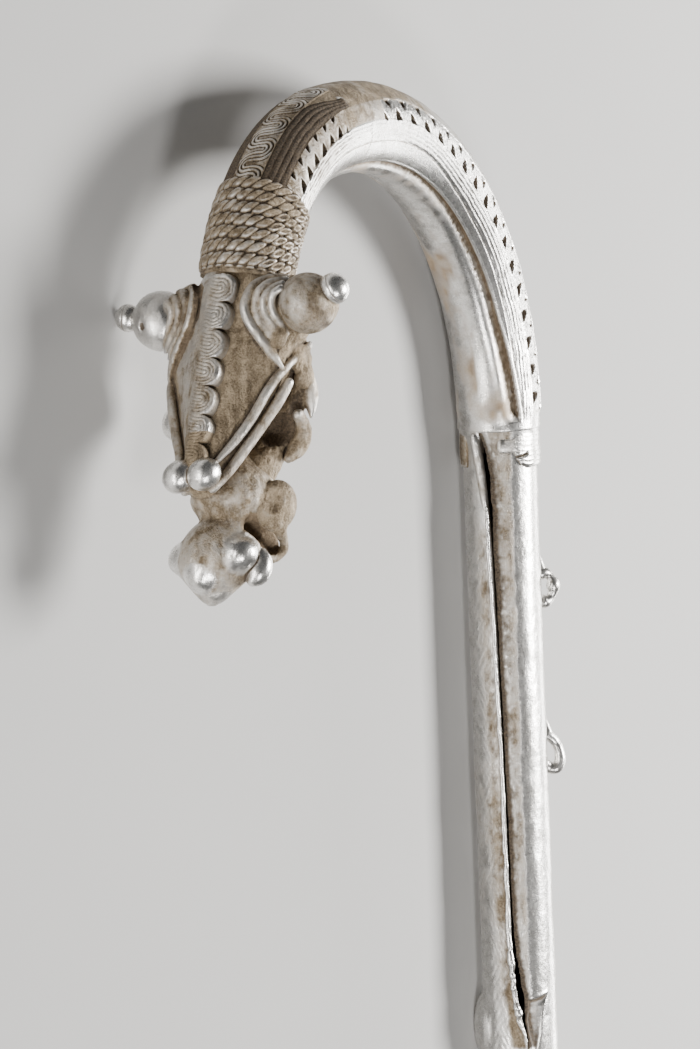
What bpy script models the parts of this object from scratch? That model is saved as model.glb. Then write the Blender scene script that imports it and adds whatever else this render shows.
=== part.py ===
"""Ceremonial staff: one casting with a hollow slit shaft and a crook that ends in an animal's head."""
import math

import bmesh
import bpy
from mathutils import Vector

MM = 0.001

# Overall sizes in metres, headings in degrees round the crook from the shaft.
STAFF_LENGTH = 0.900
SHAFT_RADIUS = 0.0130
CROOK_RADIUS = 0.1095
CROOK_TURN = 97.6
NECK_RADIUS = 0.0642
ROPE_HEADING = 137.0
NECK_HEADING = 160.0
TUBE_RADIUS = 0.0149

# Crest of the crook: bands, zigzag and the ledge over the inner rod.
BAND_HEIGHT = 0.0007
NOTCH_DEPTH = 0.0021
ZIGZAG_SWING = 4.0
ZIGZAG_STEP = 3.2
LEDGE_ANGLE = 141.0
LEDGE_DEPTH = 0.0021
ROD_BULGE = 0.0008
BARE_HEADING = 97.0

# Roped neck.
ROPE_COUNT = 7
ROPE_RADIUS = 0.0153
ROPE_HEIGHT = 0.0014

# Slit chamber, collar, loops and the flare at the slit's foot.
CHAMBER_RADIUS = 0.0098
CHAMBER_TOP = -0.010
CHAMBER_FOOT = -0.214
SLIT_TOP = -0.0065
SLIT_FOOT = -0.2175
COLLAR_TOP = -0.0065
COLLAR_FOOT = -0.0205
COLLAR_HEIGHT = 0.0016
LOOP_HEIGHTS = (-0.0638, -0.1228)
LOOP_ANGLE = 52.0
LOOP_REACHES = (0.0050, 0.0061)
LOOP_RISE = 0.0036
LOOP_THREAD = 0.0020
SPUR_LENGTH = 0.0065
FLARE_HEIGHT = -0.2210
FOOT_RING_HEIGHT = 0.0160
RING_PROUD = 0.0018
REST_FLAT_DEPTH = 0.0003

# Head sizes.
EYE_RADIUS = 0.0099
EYE_SIDE = 0.0270
KNOB_RADIUS = 0.0048
KNOB_TIP = 0.0435
SOCKET_RIDGES = 4
SOCKET_PITCH = 0.0030
BOSS_SIDE = 0.0218
BOSS_RADIUS = 0.0058
NOSTRIL_RADIUS = 0.0054
DISC_RADIUS = 0.0074
SMALL_HEAD_RADIUS = 0.0130
CREST_LOBES = 7
CREST_HEIGHT = 0.0032
HEAD_SKEW = 0.13

NEAR = Vector((0.0, -1.0, 0.0))
SIDES = 24
SHARP_ANGLE = 30.0


def crook_frame(heading):
    """Centre point, outward direction and tangent of the crook at a heading."""
    turn = math.radians(heading)
    outward = Vector((math.cos(turn), 0.0, math.sin(turn)))
    tangent = Vector((-math.sin(turn), 0.0, math.cos(turn)))
    centre = Vector((-CROOK_RADIUS, 0.0, 0.0))
    radius = CROOK_RADIUS
    if heading > CROOK_TURN:
        bend = math.radians(CROOK_TURN)
        centre += (CROOK_RADIUS - NECK_RADIUS) * Vector((math.cos(bend), 0.0, math.sin(bend)))
        radius = NECK_RADIUS
    return centre + radius * outward, outward, tangent


def shaft_frame(height):
    """The same for the straight shaft, by height below the crook."""
    return Vector((0.0, 0.0, height)), Vector((1.0, 0.0, 0.0)), Vector((0.0, 0.0, 1.0))


def around(frame, angle, radius):
    """A point at an angle from the outer mid-line, towards the near side."""
    turn = math.radians(angle)
    return frame[0] + radius * (math.cos(turn) * frame[1] + math.sin(turn) * NEAR)


HEAD_ORIGIN, HEAD_FRONT, HEAD_DOWN = crook_frame(NECK_HEADING)


def head(front, side, down):
    """A point of the head in millimetres: towards the face, the near side and the chin."""
    lowered = down - HEAD_SKEW * side
    return HEAD_ORIGIN + MM * (front * HEAD_FRONT + side * NEAR + lowered * HEAD_DOWN)


# The staff lies on the flare, the foot ring and the far eye's knob.
REST_RADIUS = SHAFT_RADIUS + RING_PROUD
KNOB_POINT = head(5.3, -KNOB_TIP / MM, 13.4)
KNOB_REACH = -KNOB_POINT.x
REST_LEAN = math.acos(REST_RADIUS / math.hypot(KNOB_TIP, KNOB_REACH)) - math.atan2(KNOB_REACH, KNOB_TIP)


def lay_down(point):
    """Turns a point of the upright staff into the lying pose, the crook at the low end of X."""
    lift = math.cos(REST_LEAN)
    slope = math.sin(REST_LEAN)
    across = point.x * lift - point.y * slope
    height = -point.x * slope - point.y * lift
    return Vector((-point.z, across, height + REST_RADIUS))


def smooth_step(value, low, high):
    """Runs from 0 at low to 1 at high with soft ends."""
    share = min(1.0, max(0.0, (value - low) / (high - low)))
    return share * share * (3.0 - 2.0 * share)


def add_mesh(name, points, faces):
    """Makes an object of a closed mesh with its faces turned outwards."""
    mesh = bpy.data.meshes.new(name)
    shape = bmesh.new()
    corners = [shape.verts.new(lay_down(point)) for point in points]
    for face in faces:
        shape.faces.new([corners[index] for index in face])
    bmesh.ops.recalc_face_normals(shape, faces=shape.faces[:])
    shape.to_mesh(mesh)
    shape.free()
    thing = bpy.data.objects.new(name, mesh)
    bpy.context.scene.collection.objects.link(thing)
    return thing


def loft(name, rings, tips=(None, None)):
    """Joins rings of equal count, with a fan to a tip point or to the ring's middle at each end."""
    count = len(rings[0])
    points = [point for ring in rings for point in ring]
    faces = []
    for row in range(len(rings) - 1):
        for step in range(count):
            follow = (step + 1) % count
            low = row * count
            faces.append((low + step, low + follow, low + count + follow, low + count + step))
    for ring, tip, first in ((rings[0], tips[0], 0), (rings[-1], tips[1], len(rings) * count - count)):
        middle = tip if tip is not None else sum(ring, Vector()) / count
        points.append(middle)
        for step in range(count):
            faces.append((first + step, first + (step + 1) % count, len(points) - 1))
    return add_mesh(name, points, faces)


def cross_axes(direction):
    """Two directions square to one another and to the given one."""
    guide = NEAR if abs(direction.dot(NEAR)) < 0.8 else HEAD_FRONT
    first = direction.cross(guide).normalized()
    return first, direction.cross(first).normalized()


def lathe(name, centre, axis, profile, sides):
    """Turns a profile of (distance along the axis, radius) pairs; its ends close on the axis."""
    axis = axis.normalized()
    first, second = cross_axes(axis)
    rings = []
    for along, radius in profile[1:-1]:
        ring = []
        for step in range(sides):
            turn = math.tau * step / sides
            ring.append(centre + along * axis + radius * (math.cos(turn) * first + math.sin(turn) * second))
        rings.append(ring)
    return loft(name, rings, (centre + profile[0][0] * axis, centre + profile[-1][0] * axis))


def ball(name, centre, axis, half_length, radius, sides=10, rows=5):
    """An egg or ball about an axis."""
    profile = []
    for row in range(rows + 1):
        turn = math.pi * row / rows
        profile.append((-half_length * math.cos(turn), radius * math.sin(turn)))
    return lathe(name, centre, axis, profile, sides)


def rod(name, path, radii, sides=6, roll=0.0):
    """A thread laid along a path, tapering to nothing past each end."""
    rings = []
    for index, point in enumerate(path):
        before = path[max(index - 1, 0)]
        after = path[min(index + 1, len(path) - 1)]
        first, second = cross_axes((after - before).normalized())
        radius = radii[index] if isinstance(radii, (list, tuple)) else radii
        ring = []
        for step in range(sides):
            turn = math.tau * step / sides + roll
            ring.append(point + radius * (math.cos(turn) * first + math.sin(turn) * second))
        rings.append(ring)
    reach = radii[0] if isinstance(radii, (list, tuple)) else radii
    start = path[0] + (path[0] - path[1]).normalized() * reach * 0.8
    reach = radii[-1] if isinstance(radii, (list, tuple)) else radii
    finish = path[-1] + (path[-1] - path[-2]).normalized() * reach * 0.8
    return loft(name, rings, (start, finish))


def crest_ring(frame, heading, swing):
    """One ring of the crook: crest bands outside, ledges, and the plain rod inside."""
    shift = 13.0 * (1.0 - smooth_step(heading, 50.0, 85.0))
    banded = heading > BARE_HEADING
    high = TUBE_RADIUS
    low = TUBE_RADIUS - BAND_HEIGHT
    deep = TUBE_RADIUS - NOTCH_DEPTH
    outer_notch = deep if swing > 0 else low
    inner_notch = low if swing > 0 else deep
    near_side = [
        (11.0, low if banded else high),
        (20.0, high),
        (36.0 + 0.5 * shift, low if banded else high),
        (51.0 + shift, high),
        (59.0 + shift, outer_notch),
        (70.0 + shift + swing * ZIGZAG_SWING, high),
        (81.0 + shift, inner_notch),
        (89.0 + shift, high),
        (112.0 + 0.5 * shift, low),
        (LEDGE_ANGLE - 6.0, high - 0.0003),
        (LEDGE_ANGLE, TUBE_RADIUS - LEDGE_DEPTH),
        (LEDGE_ANGLE + 11.0, TUBE_RADIUS - 0.45 * LEDGE_DEPTH),
        (LEDGE_ANGLE + 26.0, TUBE_RADIUS + 0.6 * ROD_BULGE),
    ]
    far_side = [
        (20.0, low if banded else high),
        (51.0, high),
        (61.0, low),
        (81.0, low),
        (90.0, high),
        (112.0, low),
        (LEDGE_ANGLE - 6.0, high - 0.0003),
        (LEDGE_ANGLE, TUBE_RADIUS - LEDGE_DEPTH),
        (LEDGE_ANGLE + 18.0, TUBE_RADIUS),
    ]
    ring = [around(frame, swing * 5.0 if banded else 0.0, high)]
    ring += [around(frame, angle, radius) for angle, radius in near_side]
    ring.append(around(frame, 180.0, TUBE_RADIUS + ROD_BULGE))
    ring += [around(frame, -angle, radius) for angle, radius in reversed(far_side)]
    return ring


def rope_ring(heading, radius, twist):
    """One ring of the roped neck; twist swings alternate points to give the slanted strands."""
    ring = []
    for step in range(SIDES):
        sign = 1.0 if step % 2 else -1.0
        slanted = crook_frame(heading + sign * twist)
        strand = radius - (0.0003 + 0.0003 * sign if twist else 0.0)
        ring.append(around(slanted, 360.0 * step / SIDES, strand))
    return ring


def main_body():
    """Shaft, crook and roped neck in one run of rings."""
    foot = CROOK_RADIUS + TUBE_RADIUS - STAFF_LENGTH
    ring_top = foot + FOOT_RING_HEIGHT
    profile = [
        (foot, REST_RADIUS - 0.0012),
        (foot + 0.0012, REST_RADIUS),
        (ring_top, REST_RADIUS),
        (ring_top + 0.002, SHAFT_RADIUS - 0.0006),
        (ring_top + 0.005, SHAFT_RADIUS - 0.0006),
        (ring_top + 0.007, SHAFT_RADIUS + 0.0004),
        (ring_top + 0.011, SHAFT_RADIUS + 0.0004),
        (ring_top + 0.013, SHAFT_RADIUS - 0.0006),
        (0.5 * (ring_top + FLARE_HEIGHT), SHAFT_RADIUS - 0.0004),
        (FLARE_HEIGHT - 0.030, SHAFT_RADIUS),
        (SLIT_FOOT, SHAFT_RADIUS),
        (COLLAR_FOOT - 0.001, SHAFT_RADIUS),
        (COLLAR_TOP - 0.001, SHAFT_RADIUS + 0.0004),
    ]
    rings = []
    for height, radius in profile:
        frame = shaft_frame(height)
        rings.append([around(frame, 360.0 * step / SIDES, radius) for step in range(SIDES)])
    rings.append(crest_ring(shaft_frame(COLLAR_TOP + 0.0025), 0.0, 1.0))
    steps = round((ROPE_HEADING - 1.0) / ZIGZAG_STEP)
    for step in range(steps + 1):
        heading = 1.0 + (ROPE_HEADING - 1.0) * step / steps
        rings.append(crest_ring(crook_frame(heading), heading, -1.0 if step % 2 == 0 else 1.0))
    pitch = (NECK_HEADING - ROPE_HEADING) / ROPE_COUNT
    for row in range(ROPE_COUNT):
        heading = ROPE_HEADING + pitch * (row + 0.25)
        rings.append(rope_ring(heading, ROPE_RADIUS, 0.0))
        rings.append(rope_ring(heading + 0.5 * pitch, ROPE_RADIUS + ROPE_HEIGHT, 0.16 * pitch))
    rings.append(rope_ring(NECK_HEADING, ROPE_RADIUS, 0.0))
    return loft("staff", rings)


def slit_angle(height):
    """The slit drifts from the crook's inner side towards the near side as it runs down."""
    return 178.0 - 20.0 * (SLIT_TOP - height) / (SLIT_TOP - SLIT_FOOT)


def slit_width(height):
    """The slit is narrow along the shaft, opens near its foot and closes to a point."""
    share = (SLIT_TOP - height) / (SLIT_TOP - SLIT_FOOT)
    opened = 0.0010 + 0.0005 * share + 0.0016 * smooth_step(share, 0.82, 0.95)
    closing = 1.0 - smooth_step(share, 0.955, 1.0)
    return opened * max(0.12, closing * smooth_step(share, -0.02, 0.04))


def chamber_cuts():
    """The slit chamber and its slit."""
    rings = []
    for height, radius in (
        (CHAMBER_FOOT, CHAMBER_RADIUS * 0.5),
        (CHAMBER_FOOT + 0.006, CHAMBER_RADIUS),
        (CHAMBER_TOP - 0.006, CHAMBER_RADIUS),
        (CHAMBER_TOP, CHAMBER_RADIUS * 0.5),
    ):
        frame = shaft_frame(height)
        rings.append([around(frame, 30.0 * step, radius) for step in range(12)])
    chamber = loft("chamber cut", rings)
    rings = []
    for share in (0.0, 0.04, 0.20, 0.50, 0.82, 0.90, 0.955, 0.98, 1.0):
        height = SLIT_TOP + share * (SLIT_FOOT - SLIT_TOP)
        width = slit_width(height)
        frame = shaft_frame(height)
        middle = slit_angle(height)
        ring = []
        for radius, sign in ((0.006, -1.0), (0.020, -1.0), (0.020, 1.0), (0.006, 1.0)):
            spread = math.degrees(math.atan(0.5 * width / radius))
            ring.append(around(frame, middle + sign * spread, radius))
        rings.append(ring)
    return [chamber, loft("slit cut", rings)]


def lip_parts():
    """The beaded thread on the slit's lip and the rounded finger at its top."""
    path = []
    radii = []
    for step in range(21):
        height = -0.0330 + (SLIT_FOOT + 0.0035 + 0.0330) * step / 20
        radius = 0.0011 if step % 4 == 0 else 0.0008
        offset = math.degrees((0.5 * slit_width(height) + radius + 0.0003) / SHAFT_RADIUS)
        path.append(around(shaft_frame(height), slit_angle(height) + offset, SHAFT_RADIUS + 0.0002))
        radii.append(radius)
    parts = [rod("beaded lip", path, radii, 5)]
    path = []
    for step in range(7):
        height = -0.0060 - 0.0045 * step
        angle = slit_angle(height) + 12.5 - 0.6 * step
        path.append(around(shaft_frame(height), angle, SHAFT_RADIUS - 0.0002))
    parts.append(rod("finger", path, [0.0021, 0.0023, 0.0022, 0.0019, 0.0016, 0.0013, 0.0010]))
    return parts


def loop_parts(index):
    """A small loop on the shaft's far front side, with the spur above it; the lower loop leans."""
    frame = shaft_frame(LOOP_HEIGHTS[index])
    base = around(frame, LOOP_ANGLE, SHAFT_RADIUS + 0.0009)
    out = (around(frame, LOOP_ANGLE, 1.0) - frame[0]).normalized()
    up = frame[2]
    flat = out.cross(up).normalized()
    lean = 0.0014 * index
    rings = []
    for step in range(12):
        turn = math.tau * step / 12
        thread = LOOP_THREAD * (1.0 + 0.2 * math.cos(4.0 * turn))
        centre = base + LOOP_REACHES[index] * math.cos(turn) * up
        centre += (LOOP_RISE * math.sin(turn) - lean * math.cos(turn)) * out
        heading = (math.cos(turn) * up + math.sin(turn) * out).normalized()
        ring = []
        for corner in range(6):
            face = math.tau * corner / 6
            ring.append(centre + thread * (math.cos(face) * heading + math.sin(face) * flat))
        rings.append(ring)
    parts = [closed_loop(f"loop {index}", rings)]
    path = []
    radii = []
    for step in range(4):
        share = step / 3
        height = LOOP_HEIGHTS[index] + LOOP_REACHES[index] + SPUR_LENGTH * share
        path.append(around(shaft_frame(height), LOOP_ANGLE, SHAFT_RADIUS + 0.0008 * (1.0 - 1.6 * share)))
        radii.append(LOOP_THREAD * (0.95 - 0.75 * share))
    parts.append(rod(f"spur {index}", path, radii, 6))
    return parts


def shaft_parts():
    """Collar, loops and the flare at the slit's foot."""
    parts = []
    rings = []
    span = COLLAR_TOP - COLLAR_FOOT
    for step in range(14):
        angle = 136.0 - 20.0 * step
        sunk = step in (0, 13)
        ring = [around(shaft_frame(COLLAR_FOOT), angle, SHAFT_RADIUS - 0.0020)]
        for row in range(7):
            height = COLLAR_FOOT + span * (row + 0.5) / 7
            lift = COLLAR_HEIGHT if row % 2 == 0 else 0.55 * COLLAR_HEIGHT
            if sunk:
                lift -= 0.0024
            ring.append(around(shaft_frame(height), angle, SHAFT_RADIUS + lift))
        ring.append(around(shaft_frame(COLLAR_TOP), angle, SHAFT_RADIUS - 0.0020))
        rings.append(ring)
    parts.append(loft("collar", rings))
    for index in range(len(LOOP_HEIGHTS)):
        parts += loop_parts(index)
    flare = shaft_frame(FLARE_HEIGHT)
    down = Vector((0.0, 0.0, -1.0))
    bulge = around(flare, 249.0, SHAFT_RADIUS - 0.0055)
    parts.append(ball("flare", bulge, down, 0.0165, 0.0090, 12, 7))
    leaf = around(shaft_frame(FLARE_HEIGHT - 0.003), 131.0, SHAFT_RADIUS - 0.0042)
    parts.append(ball("leaf", leaf, down, 0.0200, 0.0064, 10, 6))
    return parts


def closed_loop(name, rings):
    """Joins rings into a ring-shaped solid."""
    count = len(rings[0])
    points = [point for ring in rings for point in ring]
    faces = []
    for row in range(len(rings)):
        low = row * count
        high = (row + 1) % len(rings) * count
        for step in range(count):
            follow = (step + 1) % count
            faces.append((low + step, low + follow, high + follow, high + step))
    return add_mesh(name, points, faces)


def skull_parts():
    """Upper head, lower jaw and throat as lofts of named half widths and depths."""
    # Station down the head, half width, face ridge, panel, widest, cheek and back depths.
    upper = (
        (-5, 13.0, 12.0, 11.0, 0.0, -9.0, -13.0),
        (1, 15.5, 13.5, 12.0, 1.0, -10.0, -14.0),
        (7, 18.5, 14.5, 13.0, 2.0, -11.0, -15.0),
        (14, 20.5, 15.0, 13.0, 3.0, -12.0, -15.0),
        (24, 21.5, 16.0, 13.0, 4.0, -12.0, -14.0),
        (31, 20.5, 16.5, 13.5, 5.0, -10.0, -12.0),
        (38, 18.8, 17.0, 13.5, 4.0, -2.0, -4.0),
        (48, 15.4, 17.5, 14.0, 5.0, -0.5, -2.0),
        (58, 10.8, 18.0, 15.0, 7.5, 2.0, 1.0),
        (66, 7.6, 18.5, 16.0, 10.0, 5.0, 4.0),
        (73, 5.5, 18.0, 16.0, 12.0, 8.0, 7.0),
    )
    rings = []
    for down, wide, ridge, panel, widest, cheek, back in upper:
        side = [(ridge, 0.1), (panel, 0.52), (widest, 1.0), (cheek, 0.86), (back, 0.40)]
        ring = [head(front, share * wide, down) for front, share in side]
        ring += [head(front, -share * wide, down) for front, share in reversed(side)]
        rings.append(ring)
    parts = [loft("skull", rings)]
    # Station, half width, top and bottom of the lower jaw.
    lower = (
        (22, 17.0, -5.0, -15.5),
        (32, 20.5, -7.5, -17.0),
        (42, 21.0, -9.0, -18.0),
        (50, 19.5, -9.0, -18.0),
        (57, 15.0, -9.5, -17.0),
        (62, 9.0, -10.5, -15.0),
    )
    rings = []
    for down, wide, top, bottom in lower:
        depth = top - bottom
        side = [
            (top - 0.12 * depth, 0.45),
            (top, 0.93),
            (top - 0.5 * depth, 1.0),
            (bottom + 0.22 * depth, 0.72),
            (bottom, 0.25),
        ]
        ring = [head(front, share * wide, down) for front, share in side]
        ring += [head(front, -share * wide, down) for front, share in reversed(side)]
        rings.append(ring)
    parts.append(loft("lower jaw", rings))
    # Station, depth and side of the middle, and radius of the small head's throat.
    throat = (
        (60, -7.0, 0.5, 8.0),
        (67, -6.5, 2.0, 11.0),
        (74, -6.0, 2.5, 14.2),
        (81, -8.0, 4.0, 10.5),
        (87, -8.5, 4.5, 11.0),
        (95, -8.0, 3.0, 9.0),
    )
    rings = []
    for down, front, side, radius in throat:
        ring = []
        for step in range(12):
            turn = math.tau * step / 12
            ring.append(head(front + radius * math.cos(turn), side + radius * math.sin(turn), down))
        rings.append(ring)
    parts.append(loft("throat", rings))
    return parts


def mirrored(sign, path):
    """Head points with their side turned to the chosen side."""
    return [head(front, sign * side, down) for front, side, down in path]


def paired_parts(sign, label):
    """What the head carries on each side."""
    parts = []
    side = sign * NEAR
    eye = head(5.5, sign * EYE_SIDE / MM, 13.4)
    parts.append(ball(f"eye {label}", eye, side, EYE_RADIUS, EYE_RADIUS, 12, 7))
    knob_axis = side + 0.10 * HEAD_FRONT - (0.28 + 0.24 * sign) * HEAD_DOWN
    reach = KNOB_TIP - EYE_SIDE
    profile = [
        (0.0, 0.0),
        (0.3 * reach, 0.9 * KNOB_RADIUS),
        (reach - 1.5 * KNOB_RADIUS, 0.80 * KNOB_RADIUS),
        (reach - 1.3 * KNOB_RADIUS, KNOB_RADIUS),
        (reach - 0.6 * KNOB_RADIUS, 0.97 * KNOB_RADIUS),
        (reach - 0.15 * KNOB_RADIUS, 0.60 * KNOB_RADIUS),
        (reach, 0.0),
    ]
    parts.append(lathe(f"knob {label}", eye, knob_axis, profile, 10))
    socket = head(3.5, sign * 16.0, 13.8)
    parts.append(ball(f"socket {label}", socket, side, 0.0095, 0.0118, 10, 4))
    outer = (
        (7, 18.5, 3.0),
        (12.5, 12.5, 3.2),
        (15.0, 9.0, 8.0),
        (14.8, 9.2, 14.5),
        (12.4, 12.6, 21.5),
        (9.0, 16.6, 28.0),
        (6.2, 19.4, 33.0),
    )
    for row in range(SOCKET_RIDGES):
        step = row * SOCKET_PITCH / MM
        shifted = []
        for front, sides, down in outer:
            shifted.append((front - 0.42 * step, sides + 0.88 * step, down + 0.10 * step))
        first = 0 if sign > 0 else 1 + row // 2
        kept = shifted[first : len(outer) - (row + 1) // 2]
        parts.append(rod(f"socket ridge {row} {label}", mirrored(sign, kept), 0.0014, 5))
    cheek = (
        (-11, 19.8, 27.5),
        (-3, 20.8, 31.0),
        (6.0, 19.4, 34.0),
        (8.0, 17.0, 41.0),
        (10.0, 13.6, 50.0),
        (12.5, 9.2, 58.0),
        (15.0, 5.0, 65.0),
    )
    parts.append(rod(f"cheek ridge {label}", mirrored(sign, cheek), 0.0015, 5))
    lip = (
        (1.0, 21.0, 38.0),
        (2.0, 19.3, 43.0),
        (3.8, 16.2, 50.0),
        (7.0, 11.8, 60.0),
        (10.0, 8.2, 68.0),
        (12.5, 5.0, 73.5),
    )
    radii = [0.0017, 0.0019, 0.0019, 0.0018, 0.0017, 0.0015]
    parts.append(rod(f"lip {label}", mirrored(sign, lip), radii, 6))
    nostril = head(18.6, sign * 4.5, 70.0)
    parts.append(ball(f"nostril {label}", nostril, side, NOSTRIL_RADIUS, NOSTRIL_RADIUS, 12, 6))
    boss = head(-7.8, sign * (BOSS_SIDE / MM - 1.2 * sign), 49.0 + 4.5 * sign)
    parts.append(ball(f"boss {label}", boss, HEAD_DOWN, 0.0062, BOSS_RADIUS, 10, 5))
    plate = head(-5.0, sign * 20.5, 30.0)
    parts.append(ball(f"cheek plate {label}", plate, HEAD_DOWN, 0.0078, 0.0046, 8, 4))
    tooth = ((-7.5, 21.8, 36.0), (-8.5, 22.8, 41.0), (-9.0, 22.6, 46.0))
    parts.append(rod(f"tooth {label}", mirrored(sign, tooth), [0.0034, 0.0028, 0.0010], 6))
    cheek = head(-2.5, sign * 10.0, 92.5)
    parts.append(ball(f"small cheek {label}", cheek, HEAD_FRONT, 0.0058, 0.0056, 10, 5))
    return parts


def head_parts():
    """Everything on the head that isn't in a pair."""
    parts = skull_parts()
    parts += paired_parts(1.0, "near")
    parts += paired_parts(-1.0, "far")
    rings = []
    lobe = 66.0 / CREST_LOBES
    for row in range(CREST_LOBES):
        for share, wide in ((0.0, 2.2), (0.35, 4.6), (0.72, 4.5)):
            down = 3.0 + lobe * (row + share)
            ridge = 14.5 + 4.0 * down / 70.0
            lift = CREST_HEIGHT / MM * (1.0 if wide > 3.0 else 0.75)
            width = wide * (1.0 - 0.30 * down / 70.0)
            half = [(ridge - 3.0, width), (ridge + 0.6 * lift, width), (ridge + lift, 0.55 * width)]
            ring = [head(front, side, down) for front, side in half]
            ring += [head(front, -side, down) for front, side in reversed(half)]
            rings.append(ring)
    parts.append(loft("crest", rings))
    tongue = [head(-12.5, 8.5, 57.0), head(-9.5, 8.0, 62.0), head(-7.0, 7.0, 67.0)]
    parts.append(rod("tongue", tongue, 0.0062, 10))
    disc = [
        (-0.004, 0.0),
        (-0.004, 0.78 * DISC_RADIUS),
        (0.0005, DISC_RADIUS),
        (0.0030, 0.92 * DISC_RADIUS),
        (0.0042, 0.61 * DISC_RADIUS),
        (0.0046, 0.0),
    ]
    parts.append(lathe("disc", head(-9.0, 16.5, 77.0), 0.45 * HEAD_FRONT + 0.89 * NEAR, disc, 12))
    parts.append(ball("hood", head(-9.5, 13.0, 87.0), HEAD_DOWN, 0.0095, 0.0088, 12, 6))
    parts.append(ball("small lobe", head(-8.5, 13.4, 96.4), HEAD_DOWN, 0.0052, 0.0046, 8, 5))
    profile = [
        (-0.0120, 0.0),
        (-0.0100, 0.62 * SMALL_HEAD_RADIUS),
        (-0.0040, 0.94 * SMALL_HEAD_RADIUS),
        (0.0020, SMALL_HEAD_RADIUS),
        (0.0080, 0.73 * SMALL_HEAD_RADIUS),
        (0.0130, 0.35 * SMALL_HEAD_RADIUS),
        (0.0155, 0.0),
    ]
    parts.append(lathe("small head", head(-4.5, 0.3, 92.0), HEAD_DOWN, profile, 14))
    return parts


def join(base, tools, operation):
    """Adds tools to the base or cuts them from it, and keeps the result as a plain mesh."""
    group = bpy.data.collections.new(operation)
    bpy.context.scene.collection.children.link(group)
    for tool in tools:
        group.objects.link(tool)
        bpy.context.scene.collection.objects.unlink(tool)
        tool.hide_render = True
        tool.display_type = "WIRE"
    step = base.modifiers.new(operation, "BOOLEAN")
    step.operation = operation
    step.operand_type = "COLLECTION"
    step.collection = group
    step.solver = "EXACT"
    shaped = base.evaluated_get(bpy.context.evaluated_depsgraph_get())
    mesh = bpy.data.meshes.new_from_object(shaped)
    base.modifiers.clear()
    base.data = mesh
    for tool in tools:
        bpy.data.objects.remove(tool)
    bpy.data.collections.remove(group)


def keep_outer_shell(base):
    """Drops the closed pockets left inside the wax threads where several cross."""
    shape = bmesh.new()
    shape.from_mesh(base.data)
    shape.verts.ensure_lookup_table()
    left = set(range(len(shape.verts)))
    largest = []
    while left:
        start = left.pop()
        shell = [start]
        open_ends = [start]
        while open_ends:
            for edge in shape.verts[open_ends.pop()].link_edges:
                for corner in edge.verts:
                    if corner.index in left:
                        left.discard(corner.index)
                        shell.append(corner.index)
                        open_ends.append(corner.index)
        if len(shell) > len(largest):
            largest = shell
    kept = set(largest)
    loose = [corner for corner in shape.verts if corner.index not in kept]
    bmesh.ops.delete(shape, geom=loose, context="VERTS")
    shape.to_mesh(base.data)
    shape.free()


def cut_rest_flats(base):
    """Small flat spots where the staff would otherwise roll: all that reaches below the floor goes."""
    shape = bmesh.new()
    shape.from_mesh(base.data)
    everything = shape.verts[:] + shape.edges[:] + shape.faces[:]
    level = Vector((0.0, 0.0, REST_FLAT_DEPTH))
    downwards = Vector((0.0, 0.0, -1.0))
    cut = bmesh.ops.bisect_plane(shape, geom=everything, plane_co=level, plane_no=downwards, clear_outer=True)
    edges = [item for item in cut["geom_cut"] if isinstance(item, bmesh.types.BMEdge)]
    bmesh.ops.edgeloop_fill(shape, edges=edges)
    bmesh.ops.recalc_face_normals(shape, faces=shape.faces[:])
    shape.to_mesh(base.data)
    shape.free()


def settle(base):
    """Moves the mesh so that the middle of its box stands over the origin and its base is at zero."""
    corners = [vertex.co.copy() for vertex in base.data.vertices]
    low = Vector(min(corner[axis] for corner in corners) for axis in range(3))
    high = Vector(max(corner[axis] for corner in corners) for axis in range(3))
    offset = Vector((0.5 * (low.x + high.x), 0.5 * (low.y + high.y), low.z))
    for vertex in base.data.vertices:
        vertex.co -= offset
    return offset


def metal():
    """Silvery copper alloy, rubbed bright on the high places."""
    material = bpy.data.materials.new("staff")
    material.use_nodes = True
    shader = material.node_tree.nodes["Principled BSDF"]
    shader.inputs["Base Color"].default_value = (0.72, 0.69, 0.62, 1.0)
    shader.inputs["Metallic"].default_value = 1.0
    shader.inputs["Roughness"].default_value = 0.42
    return material


for thing in list(bpy.data.objects):
    bpy.data.objects.remove(thing)

staff = main_body()
join(staff, shaft_parts() + head_parts(), "UNION")
hollow = ball("hood cut", head(-9.0, 21.0, 87.5), HEAD_DOWN, 0.0078, 0.0066, 10, 6)
join(staff, chamber_cuts() + [hollow], "DIFFERENCE")
join(staff, lip_parts(), "UNION")
keep_outer_shell(staff)
cut_rest_flats(staff)
REST_OFFSET = settle(staff)
staff.data.materials.clear()
staff.data.materials.append(metal())
staff.data.shade_smooth()
staff.data.set_sharp_from_angle(angle=math.radians(SHARP_ANGLE))
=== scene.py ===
"""Looks of the ceremonial staff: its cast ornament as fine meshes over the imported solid."""

import itertools
import math

import bpy
import numpy as np
from mathutils import Matrix, Vector


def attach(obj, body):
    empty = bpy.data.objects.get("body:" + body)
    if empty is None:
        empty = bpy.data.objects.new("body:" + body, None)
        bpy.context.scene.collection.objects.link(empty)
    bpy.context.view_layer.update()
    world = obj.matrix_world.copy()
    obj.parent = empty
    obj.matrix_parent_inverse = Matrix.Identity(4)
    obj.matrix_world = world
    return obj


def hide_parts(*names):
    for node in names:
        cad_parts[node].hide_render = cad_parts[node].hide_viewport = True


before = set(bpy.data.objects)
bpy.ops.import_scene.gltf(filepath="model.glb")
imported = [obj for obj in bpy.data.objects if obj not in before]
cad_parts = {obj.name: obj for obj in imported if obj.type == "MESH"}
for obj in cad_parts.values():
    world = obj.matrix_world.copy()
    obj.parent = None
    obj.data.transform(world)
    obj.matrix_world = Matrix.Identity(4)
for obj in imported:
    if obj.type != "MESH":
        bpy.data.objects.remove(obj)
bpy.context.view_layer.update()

MM = 0.001

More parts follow.
